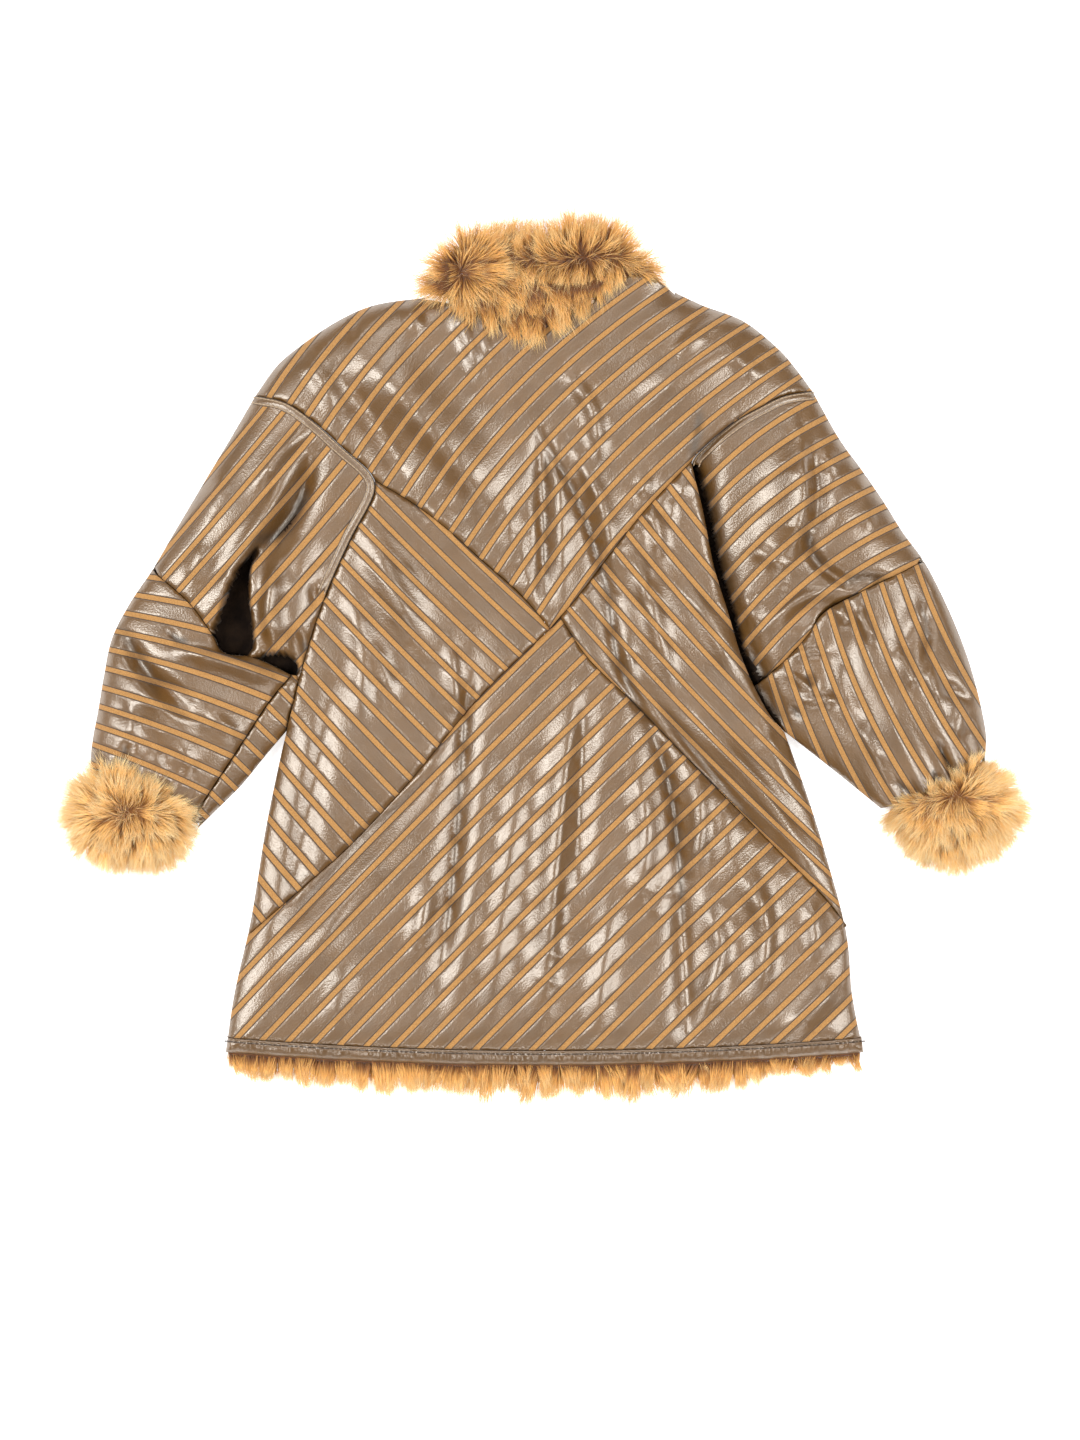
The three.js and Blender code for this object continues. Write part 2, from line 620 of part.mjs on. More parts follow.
function cuffSolid(outline, region, cuffSeam) {
  const closed = new THREE.CatmullRomCurve3(vectors(outline), true);
  const edge = closed.getSpacedPoints(cuffSides).slice(0, cuffSides);
  const centre = edge.reduce((sum, p) => sum.addScaledVector(p, 1 / cuffSides), new THREE.Vector3());
  const positions = [];
  for (const { level, size } of cuffRings) {
    for (const p of edge) {
      positions.push(centre.x + (p.x - centre.x) * size, centre.y + (p.y - centre.y) * size, level);
    }
  }
  const bottomCentre = cuffRings.length * cuffSides;
  positions.push(centre.x, centre.y, 0, centre.x, centre.y, cuffTop);
  const clockwise = THREE.ShapeUtils.isClockWise(edge);
  const index = [];
  const face = (a, b, c) => (clockwise ? index.push(a, c, b) : index.push(a, b, c));
  const topRing = (cuffRings.length - 1) * cuffSides;
  for (let k = 0; k < cuffSides; k += 1) {
    const next = (k + 1) % cuffSides;
    for (let ring = 0; ring < topRing; ring += cuffSides) {
      face(ring + k, ring + next, ring + cuffSides + next);
      face(ring + k, ring + cuffSides + next, ring + cuffSides + k);
    }
    face(next, k, bottomCentre);
    face(topRing + k, topRing + next, bottomCentre + 1);
  }
  return meshSolid(positions, index).intersect(region).subtract(seam(cuffSeam));
}

function hemHair(size, top, bottom) {
  const rows = [];
  for (let i = 0; i <= 2 * hairLocks.count; i += 1) {
    const x = hem.halfWidth * (i / hairLocks.count - 1);
    const start = hemAt(x) - gap;
    const reach = size.reach + size.centreReach * hemArc(x) - (i % 2) * hairLocks.depth;
    rows.push([[x, start], [x, start - reach]]);
  }
  return between(runningRight(rows), (x, y) => top(hemAt(x) - y), (x, y) => bottom(hemAt(x) - y));
}

const frontHairTop = (below) => frontLevel() - frontHair.fall * below;
const backHairTop = (below) => backHair.top - backHair.fall * below;

// The coat.
const coat = new THREE.Group();

function piece(name, solid, finish) {
  const { vertProperties, triVerts } = solid.getMesh();
  const geometry = new THREE.BufferGeometry();
  geometry.setAttribute('position', new THREE.BufferAttribute(new Float32Array(vertProperties), 3));
  geometry.setIndex(new THREE.BufferAttribute(new Uint32Array(triVerts), 1));
  const mesh = new THREE.Mesh(geometry, new THREE.MeshStandardMaterial(finish));
  mesh.name = name;
  coat.add(mesh);
}

piece('back_yoke', back.intersect(yokeRegion), leather);
piece('back_side_left', backSides.intersect(leftOfPoint), leather);
piece('back_side_right', backSides.subtract(leftOfPoint), leather);
piece('back_skirt', back.intersect(skirtRegion), leather);
piece('hem_band_back', between(backBandRows, bandTop, backLevel), plainLeather);
piece('front_left', fronts.intersect(leftOfCentre), leather);
piece('front_right', fronts.subtract(leftOfCentre), leather);
piece('hem_band_front_left', frontBands.intersect(leftOfCentre), plainLeather);
piece('hem_band_front_right', frontBands.subtract(leftOfCentre), plainLeather);
piece('sleeve_left_upper', upperLeft, leather);
piece('sleeve_left_lower', lowerLeft, leather);
piece('sleeve_left_under', underLeft, leather);
piece('sleeve_right_upper', upperRight, leather);
piece('sleeve_right_lower', lowerRight, leather);
piece('sleeve_right_under', underRight, leather);
piece('armhole_band_left', armholeBand(bandLineLeft, -1, upperLeftTop), plainLeather);
piece('armhole_band_right', armholeBand(bandLineRight, 1, upperRightTop), plainLeather);
piece('collar', collarSolid(), fur);
piece('cuff_left', cuffSolid(cuffLeftOutline, cuffRegionLeft, cuffSeamLeft), fur);
piece('cuff_right', cuffSolid(cuffRightOutline, cuffRegionRight, cuffSeamRight), fur);
piece('hem_fur_back', hemHair(backHair, backHairTop, (below) => frontHairTop(below) + gap), fur);
piece('hem_fur_front', hemHair(frontHair, frontHairTop, () => 0), fur);

export default coat;
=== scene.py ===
# %% [markdown]
# # A sheepskin coat, laid flat with its back up
#
# The coat is sewn from sheepskin with the leather outside. Narrow leather strips are stitched side by
# side on suede, so each panel is striped on the slant. Long hair shows at the collar, the cuffs and
# under the hem. This lesson dresses the imported solids of that coat: each soft solid is replaced by a
# thin shell of cloth or by hair, in the same place and size.
#
# The first cell loads the solids.

# %% Load the frame
import math
import bpy
import numpy as np
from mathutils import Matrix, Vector, noise
from mathutils.geometry import delaunay_2d_cdt


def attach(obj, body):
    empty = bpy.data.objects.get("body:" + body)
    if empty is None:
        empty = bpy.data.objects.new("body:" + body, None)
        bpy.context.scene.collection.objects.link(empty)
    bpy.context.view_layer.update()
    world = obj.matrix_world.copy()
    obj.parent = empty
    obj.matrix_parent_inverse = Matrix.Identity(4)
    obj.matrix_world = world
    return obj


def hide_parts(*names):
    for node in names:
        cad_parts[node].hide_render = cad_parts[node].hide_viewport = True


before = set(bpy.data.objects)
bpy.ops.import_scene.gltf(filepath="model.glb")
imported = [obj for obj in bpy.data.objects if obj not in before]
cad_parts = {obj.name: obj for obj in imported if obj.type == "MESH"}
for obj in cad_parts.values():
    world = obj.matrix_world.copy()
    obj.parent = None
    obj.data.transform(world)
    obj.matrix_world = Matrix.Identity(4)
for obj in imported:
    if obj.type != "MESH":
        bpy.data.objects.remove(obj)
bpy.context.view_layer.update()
print("Nodes in the frame:", len(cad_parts))

# %% [markdown]
# ## The camera
#
# The coat is seen from straight above through a long lens, which keeps its outline true. One pixel of
# the 1080 by 1440 picture covers 1.08 mm of the coat, and the picture's middle lies a little below and
# to the left of the coat's middle. The camera goes as high as that lens needs.

# %% Camera
MM = 0.001
PIXEL_MM = 1.08
PICTURE_TALL = 1440
LENS_MM = 200
SENSOR_MM = 36
PICTURE_MIDDLE_MM = (-4.9, -68.6)
MEAN_LEVEL_MM = 36

camera_data = bpy.data.cameras.new("camera")
camera_data.lens = LENS_MM
camera_data.sensor_width = SENSOR_MM
camera = bpy.data.objects.new("camera", camera_data)
bpy.context.scene.collection.objects.link(camera)
height_mm = MEAN_LEVEL_MM + PICTURE_TALL * PIXEL_MM * LENS_MM / SENSOR_MM
camera.location = (PICTURE_MIDDLE_MM[0] * MM, PICTURE_MIDDLE_MM[1] * MM, height_mm * MM)
camera_data.clip_end = 100
bpy.context.scene.camera = camera
print("Camera height in metres:", round(camera.location.z, 2))

# %% [markdown]
# ## Curves and distances
#
# Every edge and seam is a smooth curve through a few points, in millimetres. A centripetal
# Catmull-Rom curve is used, since it makes no loops between uneven points. The distance from many
# points to a line is needed all through the lesson: it rounds the edges, presses in the folds and
# seams, and tells inside from outside.

# %% Curves and distances
def between_points(p, count):
    """Points of the curve piece from p[1] to p[2], with the neighbours p[0] and p[3]."""
    knots = [0.0]
    for a, b in zip(p[:3], p[1:]):
        knots.append(knots[-1] + max(np.linalg.norm(b - a), 1e-6) ** 0.5)
    s = np.linspace(knots[1], knots[2], count, endpoint=False)[:, None]

    def blend(a, b, start, end):
        return ((end - s) * a + (s - start) * b) / (end - start)

    first = [blend(p[i], p[i + 1], knots[i], knots[i + 1]) for i in range(3)]
    second = [blend(first[i], first[i + 1], knots[i], knots[i + 2]) for i in range(2)]
    return blend(second[0], second[1], knots[1], knots[2])


def evenly(fine, spacing):
    """The same line with its points about spacing apart."""
    steps = np.linalg.norm(np.diff(fine, axis=0), axis=1)
    along = np.concatenate([[0.0], np.cumsum(steps)])
    count = max(2, int(round(along[-1] / spacing)) + 1)
    places = np.linspace(0.0, along[-1], count)
    return np.stack([np.interp(places, along, fine[:, k]) for k in range(fine.shape[1])], axis=1)


def smooth(points, spacing=3.5, closed=False):
    """A smooth curve through a few points."""
    p = np.array(points, float)
    if closed:
        p = np.vstack([p[-1], p, p[0], p[1]])
    else:
        p = np.vstack([2 * p[0] - p[1], p, 2 * p[-1] - p[-2]])
    pieces = [between_points(p[i:i + 4], 16) for i in range(len(p) - 3)]
    return evenly(np.vstack(pieces + [p[-2:-1]]), spacing)


def nearest(line, xy):
    """For each point, how far it is from the line, and how far along the line, from 0 to 1."""
    best = np.full(len(xy), np.inf)
    place = np.zeros(len(xy))
    for i in range(len(line) - 1):
        start, step = line[i], line[i + 1] - line[i]
        share = np.clip((xy - start) @ step / max(step @ step, 1e-9), 0, 1)
        away = np.hypot(*(xy - start - share[:, None] * step).T)
        closer = away < best
        best = np.where(closer, away, best)
        place = np.where(closer, (i + share) / (len(line) - 1), place)
    return best, place


def distance(lines, xy):
    """How far each point is from the nearest of several lines."""
    return np.min([nearest(line, xy)[0] for line in lines], axis=0)


def inside(outline, xy):
    """True for each point inside a closed outline."""
    crossings = np.zeros(len(xy), int)
    for a, b in zip(outline, np.roll(outline, -1, axis=0)):
        spans = (a[1] > xy[:, 1]) != (b[1] > xy[:, 1])
        rise = b[1] - a[1] if b[1] != a[1] else 1e-9
        crossings += spans & (xy[:, 0] < a[0] + (xy[:, 1] - a[1]) * (b[0] - a[0]) / rise)
    return crossings % 2 == 1


# %% [markdown]
# ## Edges and seams
#
# These are the same named edges and seams as in the solids, seen from above. Left and right are the
# wearer's: the back is up, so the wearer's left sleeve is on the left of the picture.

# %% Edges and seams
SHOULDER_LEFT = smooth([(-313, 282), (-290, 314), (-271, 331), (-224, 363), (-185, 380), (-124, 389)])
SHOULDER_RIGHT = smooth([(290, 287), (269, 315), (255, 331), (215, 363), (171, 380), (141, 394)])
SIDE_LEFT = smooth([(-345, -428), (-336, -366), (-318, -285), (-302, -187), (-289, -123), (-279, -79)])
SIDE_RIGHT = smooth([(345, -428), (333, -366), (327, -301), (304, -213), (286, -155), (260, -82)])
ARMHOLE_LEFT = smooth([
    (-313, 282), (-280, 274), (-250, 254), (-220, 227), (-187, 196), (-183, 180),
    (-210, 125), (-234, 72), (-252, 22), (-270, -45), (-279, -79),
])
ARMHOLE_RIGHT = smooth([
    (290, 287), (258, 281), (231, 268), (207, 254), (176, 229), (160, 211), (162, 196),
    (171, 160), (183, 99), (198, 50), (217, -10), (243, -62), (260, -82),
])
YOKE_POINT = (6, 30)
YOKE_SEAM_LEFT = smooth([(-183, 190), (-140, 164), (-107, 139), (-70, 106), (-25, 66), YOKE_POINT])
YOKE_SEAM_RIGHT = smooth([YOKE_POINT, (43, 73), (73, 113), (107, 156), (158, 210)])
SKIRT_SEAM_LEFT = smooth([
    (-319, -300), (-264, -252), (-210, -204), (-144, -133), (-72, -46), YOKE_POINT,
])
SKIRT_SEAM_RIGHT = smooth([
    (17, 42), (47, -2), (96, -50), (168, -124), (241, -198), (302, -260), (327, -291),
])
ELBOW_SEAM_LEFT = smooth([
    (-440, 104), (-425, 93), (-383, 57), (-359, 24), (-348, 5), (-315, -1), (-270, -22), (-250, -34),
])
ELBOW_SEAM_RIGHT = smooth([
    (425, 112), (384, 90), (338, 68), (300, 46), (285, 24), (262, -2), (235, -26), (210, -44),
])
UNDER_SEAM_LEFT = smooth([
    (-262, -6), (-277, -24), (-297, -48), (-322, -86), (-345, -121), (-371, -160), (-392, -192),
])
CUFF_SEAM_LEFT = smooth([
    (-505, -118), (-489, -122), (-450, -135), (-413, -152), (-371, -183), (-355, -196),
])
CUFF_SEAM_RIGHT = smooth([
    (350, -172), (368, -164), (394, -157), (430, -141), (458, -123), (490, -98),
])
COLLAR_LOWER = smooth([
    (-137, 386), (-104, 374), (-70, 358), (-40, 343), (-11, 343), (20, 352), (50, 367),
    (64, 384), (88, 400), (114, 402), (142, 390),
])
# The neck edge of the cloth lies up to 14 mm above the collar's lower edge, hidden by the hair.
NECK_TUCK = 14 * np.sin(np.linspace(0, 3.14, len(COLLAR_LOWER))) ** 0.6
NECK_EDGE = COLLAR_LOWER + np.column_stack([0 * NECK_TUCK, NECK_TUCK])
COLLAR_OUTER = smooth([
    (-139, 396), (-131, 420), (-108, 446), (-88, 461), (-48, 465), (-5, 461), (22, 468),
    (55, 474), (84, 461), (114, 433), (130, 412), (146, 398),
])
SLEEVE_LEFT_OUTER = smooth([
    (-313, 282), (-341, 234), (-361, 201), (-380, 169), (-402, 132), (-425, 93), (-448, 59),
    (-468, 20), (-477, -22), (-483, -58), (-489, -90), (-491, -110), (-488, -140),
])
SLEEVE_LEFT_INNER = smooth([(-277, -78), (-301, -106), (-328, -139), (-357, -168), (-390, -200)])
SLEEVE_RIGHT_OUTER = smooth([
    (290, 287), (320, 234), (344, 201), (366, 169), (388, 134), (410, 104), (434, 58),
    (455, 7), (467, -32), (474, -62), (478, -88), (477, -107), (476, -137),
])
SLEEVE_RIGHT_INNER = smooth([(262, -83), (313, -123), (350, -153), (386, -182)])

HEM_HALF, HEM_SIDE_LEVEL, HEM_SAG, HEM_BAND = 345, -428, 14, 16


def hem_arc(x):
    """From 1 in the middle of the hem to 0 at its ends."""
    return np.maximum(0, 1 - (np.asarray(x, float) / HEM_HALF) ** 2)


def hem_at(x):
    """Where the hem's lower edge lies at each x."""
    return HEM_SIDE_LEVEL - HEM_SAG * hem_arc(x)


hem_x = np.linspace(-HEM_HALF, HEM_HALF, 199)
HEM_LINE = np.stack([hem_x, hem_at(hem_x)], axis=1)
BAND_LINE = HEM_LINE + (0, HEM_BAND)
print("Hem band length in metres:", round(np.hypot(*np.diff(HEM_LINE, axis=0).T).sum() * MM, 3))

# %% [markdown]
# ## The level of the coat's upper side
#
# The cloth lies on a thick filling of hair, so its upper side is a gentle relief: rounded at its
# edges, swollen where the hair bunches, and creased where the cloth was pushed together. One function
# of place gives that level. Each fold is a curve with a width and a rise, below zero for a trough,
# placed where the coat has it. The broad ones are in the solids too, and the finer ones are
# only here.

# %% Swells and folds
MID_LEVEL, RIM_LEVEL, BODY_LEVEL, GAP = 18, 22, 38, 0.3
UPPER_RIM, LOWER_RIM = MID_LEVEL + GAP / 2, MID_LEVEL - GAP / 2  # where the two layers meet
BODY_REACH, SLEEVE_REACH = 42, 52
SWELLS = [  # x, y, reach, rise
    (-205, 270, 110, 12), (185, 280, 110, 12), (-345, 160, 95, 14), (325, 150, 100, 15),
    (-425, -50, 85, 17), (405, -50, 85, 17), (0, 330, 130, 8), (0, -330, 220, -3),
]
BODY_FOLDS = [  # points, width, rise
    ((-4, 250), (1, 150), (1, 58), 12, -5),
    ((33, 222), (66, 80), (76, 2), 13, -6),
    ((76, 2), (134, -130), (157, -428), 15, -7),
    ((-78, 16), (-92, -134), (-118, -400), 14, -6),
    ((114, -40), (215, -168), (312, -280), 11, -6),
    ((-113, -123), (-215, -228), (-313, -330), 12, -4),
    ((103, 277), (160, 310), (217, 345), 18, 5),
    ((-64, -69), (-75, -240), (-97, -371), 16, 4),
    ((60, 191), (92, 104), (146, 18), 16, 5),
    ((195, -133), (200, -209), (244, -295), 16, 5),
]
UPPER_LEFT_FOLDS = [
    ((-250, 215), (-283, 135), (-318, 96), 15, -14),
    ((-258, 130), (-265, 70), (-268, 0), 17, 8),
]
LOWER_LEFT_FOLDS = [
    ((-461, 29), (-424, -20), (-361, -90), 14, -8),
    ((-478, -40), (-440, -70), (-400, -120), 12, -5),
]
UPPER_RIGHT_FOLDS = [
    ((168, 234), (174, 160), (183, 99), 13, -12),
    ((183, 110), (204, 32), (255, -70), 15, -22),
    ((341, 61), (300, 52), (262, 40), 12, -7),
]
LOWER_RIGHT_FOLDS = [
    ((225, -20), (245, -60), (262, -86), 14, -20),
    ((414, 62), (392, 20), (380, -30), 14, -8),
    ((330, 30), (322, -30), (352, -90), 13, -6),
]
# A fine fold has two widths: on the right and on the left hand of one who walks along its points.
FINE_FOLDS = {
    "body": [
        # yoke, left half
        ((-193, 329), (-122, 246), (-45, 151), (21, 36), 8.5),
        ((-226, 307), (-180, 245), (-145, 180), (16, 12), -4),
        ((-151, 385), (-134, 353), (10, 8), 3),
        ((-97, 376), (-80, 336), (-70, 304), (9, 8), 3),
        ((-70, 358), (-57, 320), (7, 6), 2.5),
        ((-262, 322), (-238, 296), (-226, 262), (9, 12), 2.5),
        ((-205, 372), (-214, 340), (5, 6), -2.5),
        # the long creases down the middle
        ((-4, 242), (-2, 158), (-1, 61), (6, 5), -4),
        ((-18, 174), (-10, 126), (-12, 61), (5, 5), 2),
        ((-26, 137), (-19, 83), (-8, 55), (5, 6), 2),
        ((-43, 169), (-32, 104), (8, 7), 2),
        ((12, 234), (17, 147), (19, 61), (9, 9), 2.5),
        ((-8, 246), (38, 163), (68, 68), (5, 5), -5),
        ((30, 227), (57, 169), (77, 77), (8, 11), 4.5),
        ((23, 307), (51, 267), (60, 209), (9, 9), 3.5),
        ((68, 68), (80, -5), (118, -80), (6, 6), -5),
        ((117, -78), (137, -151), (147, -237), (6, 6), -6),
        ((147, -237), (151, -335), (154, -418), (10, 7), -3),
        ((88, 18), (96, -36), (7, 6), 3),
        ((164, -124), (168, -191), (157, -241), (14, 10), 4.5),
        ((101, -124), (111, -191), (103, -263), (12, 10), 3.5),
        # the long crease left of the middle
        ((-78, -18), (-85, -55), (-91, -138), (5, 5), -5),
        ((-91, -138), (-102, -269), (-114, -335), (5, 6), -4.5),
        ((-124, -241), (-137, -317), (10, 9), 3.5),
        ((-102, 18), (-92, -63), (9, 6), 3),
        ((-186, 18), (-175, -12), (-164, -47), (9, 9), 3),
        ((-120, -128), (-196, -195), (-280, -290), (7, 6), -3.5),
        ((-150, -190), (-210, -262), (-262, -340), (14, 12), 2.5),
        # left side panel
        ((-228, -25), (-253, -155), (-291, -328), (9, 13), -3),
        ((-186, 137), (-169, 88), (-134, 18), (18, 16), 5.5),
        ((-210, 72), (-197, 7), (-199, -69), (10, 12), 3.5),
        ((-156, 104), (-129, 61), (6, 6), 2),
        ((-128, 164), (-80, 115), (8, 9), 2),
        # skirt
        ((30, -47), (14, -205), (0, -385), (18, 10), 6),
        ((45, -48), (40, -124), (35, -253), (7, 13), -3.5),
        ((-26, -112), (-43, -263), (-59, -392), (14, 12), 3),
        ((73, -263), (60, -371), (56, -418), (12, 12), 3),
        ((223, -230), (239, -296), (233, -371), (13, 10), 4.5),
        ((177, -269), (190, -313), (168, -403), (11, 10), 4),
        ((265, -409), (317, -349), (14, 12), 4),
        ((289, -263), (297, -328), (10, 12), 3.5),
        ((-215, -330), (-228, -400), (14, 12), 2.5),
        ((1, -317), (22, -326), (49, -319), (4, 4), 1.6),
        ((-10, -344), (17, -355), (4, 4), 1.5),
        ((95, -241), (114, -252), (157, -255), (4, 4), 1.6),
        ((103, -268), (130, -279), (4, 4), 1.4),
        # yoke, right half
        ((138, 326), (180, 356), (208, 366), (10, 8), 3.5),
        ((168, 344), (196, 365), (3, 3), -2.4),
        ((112, 195), (104, 171), (8, 8), 3),
        ((198, 330), (232, 300), (9, 9), 2),
        # right side panel
        ((107, 161), (118, 147), (126, 105), (9, 8), 4),
        ((138, 171), (136, 143), (4, 5), -3),
        ((152, 190), (146, 169), (5, 5), 2.5),
        ((103, 104), (119, 39), (136, -25), (9, 9), 4),
        ((114, 96), (114, 45), (4, 5), -3),
        ((146, 75), (174, 45), (206, -25), (10, 10), 3.5),
        ((119, -47), (173, -117), (236, -191), (6, 5), -3.5),
        ((168, -69), (233, -144), (292, -231), (10, 10), 3.5),
        ((233, -69), (276, -155), (12, 9), 3.5),
        ((163, 214), (174, 161), (198, 45), (5, 5), -6),
        ((198, 45), (217, -4), (250, -72), (5, 5), -7),
    ],
    "upper_left": [
        ((-258, 245), (-288, 214), (-312, 180), (9, 7), 4.5),
        ((-265, 207), (-306, 140), (-358, 48), (12, 8), 6),
        ((-251, 218), (-268, 164), (-305, 117), (6, 7), -7),
        ((-290, 100), (-298, 50), (-290, 5), (8, 16), 8),
        ((-250, 75), (-247, 56), (4, 4), -4),
        ((-242, 82), (-237, 59), (4, 4), 3),
        ((-367, 120), (-383, 83), (10, 10), 2.5),
        ((-345, 190), (-368, 150), (9, 12), 2.5),
        ((-272, 30), (-262, -12), (7, 7), -5),
    ],
    "lower_left": [
        ((-458, 32), (-426, -21), (-383, -47), (8, 7), -6),
        ((-451, -93), (-455, -119), (4, 5), -3.5),
        ((-364, -62), (-342, -77), (-329, -90), (8, 7), 3.5),
        ((-440, -30), (-405, -60), (-370, -75), (9, 8), 3.5),
        ((-399, 9), (-334, -7), (-280, -28), (12, 5), 8),
        ((-406, 29), (-395, 17), (3, 3), -4),
        ((-448, -47), (-442, -90), (6, 6), 3),
        ((-420, -100), (-408, -140), (5, 5), 2.5),
        ((-392, -96), (-376, -128), (6, 6), 2.5),
    ],
    "upper_right": [
        ((180, 285), (172, 246), (166, 209), (7, 6), -9),
        ((166, 209), (174, 161), (198, 45), (6, 6), -14),
        ((198, 45), (217, -4), (250, -60), (6, 6), -14),
        ((276, 234), (279, 169), (265, 104), (30, 9), 10),
        ((289, 218), (295, 169), (292, 137), (8, 14), -4),
        ((280, 134), (294, 102), (334, 74), (6, 6), -7),
        ((305, 218), (312, 200), (9, 8), 3),
        ((340, 191), (345, 170), (8, 7), 2.5),
        ((350, 155), (352, 135), (8, 7), 2.5),
        ((244, 34), (276, 61), (308, 72), (7, 6), 4.5),
        ((328, 82), (373, 82), (7, 6), -5),
        ((222, 118), (262, 96), (9, 9), 3),
        ((212, 70), (232, 30), (8, 9), 3),
    ],
    "lower_right": [
        ((317, 55), (328, 32), (7, 7), 4),
        ((335, 52), (356, 15), (8, 8), 4.5),
        ((328, 60), (343, 18), (4, 4), -3),
        ((408, 66), (412, 36), (411, -9), (5, 6), -6),
        ((430, -29), (461, -51), (7, 6), -5),
        ((381, 9), (403, -36), (9, 8), 4.5),
        ((411, -9), (427, -51), (7, 7), 3.5),
        ((450, -51), (446, -89), (8, 8), 3.5),
        ((285, -20), (292, -32), (4, 4), -4.5),
        ((268, -54), (275, -66), (4, 4), -4.5),
        ((260, -15), (287, -36), (5, 5), 4),
        ((276, -47), (319, -47), (6, 6), 3.5),
        ((265, 2), (308, 7), (5, 5), 3.5),
        ((424, -91), (441, -130), (3.5, 3.5), -5.5),
        ((422, -127), (424, -138), (3, 3), -4),
        ((377, -134), (399, -150), (3.5, 3.5), -4.5),
        ((340, -70), (365, -120), (9, 9), 3),
    ],
}


def rounded_rise(t):
    """A quarter circle, from 0 where t is 0 to 1 where t is 1 or more."""
    return np.sqrt(1 - (1 - np.minimum(1, t)) ** 2)


def swell_at(xy):
    """The rise of the broad swells at each point."""
    rise = np.zeros(len(xy))
    for x, y, reach, height in SWELLS:
        rise += height * np.exp(-((xy[:, 0] - x) ** 2 + (xy[:, 1] - y) ** 2) / reach ** 2)
    return rise


def left_of(line, xy, place):
    """True for each point on the left hand of one who walks along the line."""
    piece = np.minimum((place * (len(line) - 1)).astype(int), len(line) - 2)
    step, off = line[piece + 1] - line[piece], xy - line[piece]
    return step[:, 0] * off[:, 1] > step[:, 1] * off[:, 0]


def fold_at(folds, xy, deepened=False):
    """The rise of all the folds at each point. Fine folds are deepened by their width."""
    rise = np.zeros(len(xy))
    for *points, width, height in folds:
        right, left = width if isinstance(width, tuple) else (width, width)
        if deepened:
            height *= np.interp((right + left) / 2, *FOLD_DEPTH)
        line = smooth(points, 6)
        room = 3 * max(right, left)
        close = ((xy > line.min(axis=0) - room) & (xy < line.max(axis=0) + room)).all(axis=1)
        spot = xy[close]
        away, place = nearest(line, spot)
        taper = np.minimum(1, 0.2 + 3 * np.minimum(place, 1 - place))
        reach = np.where(left_of(line, spot, place), left, right)
        rise[close] += height * taper * np.exp(-(away / reach) ** 2)
    return rise


def uneven(xy, size, seed):
    """A soft random value from -1 to 1 for each point, which changes over about size mm."""
    return np.array([noise.noise(Vector((x / size, y / size, seed))) for x, y in xy])


BODY_EDGES = [SHOULDER_LEFT, SHOULDER_RIGHT, SIDE_LEFT, SIDE_RIGHT, HEM_LINE]
SLEEVE_EDGES = [
    SLEEVE_LEFT_OUTER, SLEEVE_LEFT_INNER, SLEEVE_RIGHT_OUTER, SLEEVE_RIGHT_INNER,
    SHOULDER_LEFT, SHOULDER_RIGHT,
]
GATHERS = {  # cuff seam, start, direction, pitch, depth, fade
    "lower_left": (CUFF_SEAM_LEFT, (-371, -183), (-0.89, 0.46), 20, 2.0, 26),
    "lower_right": (CUFF_SEAM_RIGHT, (368, -164), (0.89, 0.46), 15, 3.2, 34),
}


def gather_at(gathers, xy):
    """Small waves of the cloth that is gathered into a cuff seam."""
    seam, start, direction, pitch, depth, fade = gathers
    place = (xy - start) @ np.array(direction)
    near_seam = np.exp(-nearest(seam, xy)[0] / fade)
    off_edge = np.minimum(1, distance(SLEEVE_EDGES, xy) / 20)
    return depth * np.cos(2 * np.pi * place / pitch) * near_seam * off_edge


# A hollow is a place where the cloth folds down out of sight.
GROOVE = ARMHOLE_RIGHT[(ARMHOLE_RIGHT[:, 1] < 262) & (ARMHOLE_RIGHT[:, 1] > -74)]


def groove(towards_sleeve, towards_body):
    """A narrow outline along the right armhole, tapered at both ends."""
    taper = np.sin(np.linspace(0.12, 3.02, len(GROOVE)))[:, None] ** 0.7
    ahead = np.gradient(GROOVE, axis=0)
    ahead /= np.hypot(*ahead.T)[:, None]
    side = np.stack([-ahead[:, 1], ahead[:, 0]], axis=1) * taper
    return np.vstack([GROOVE + towards_sleeve * side, (GROOVE - towards_body * side)[::-1]])


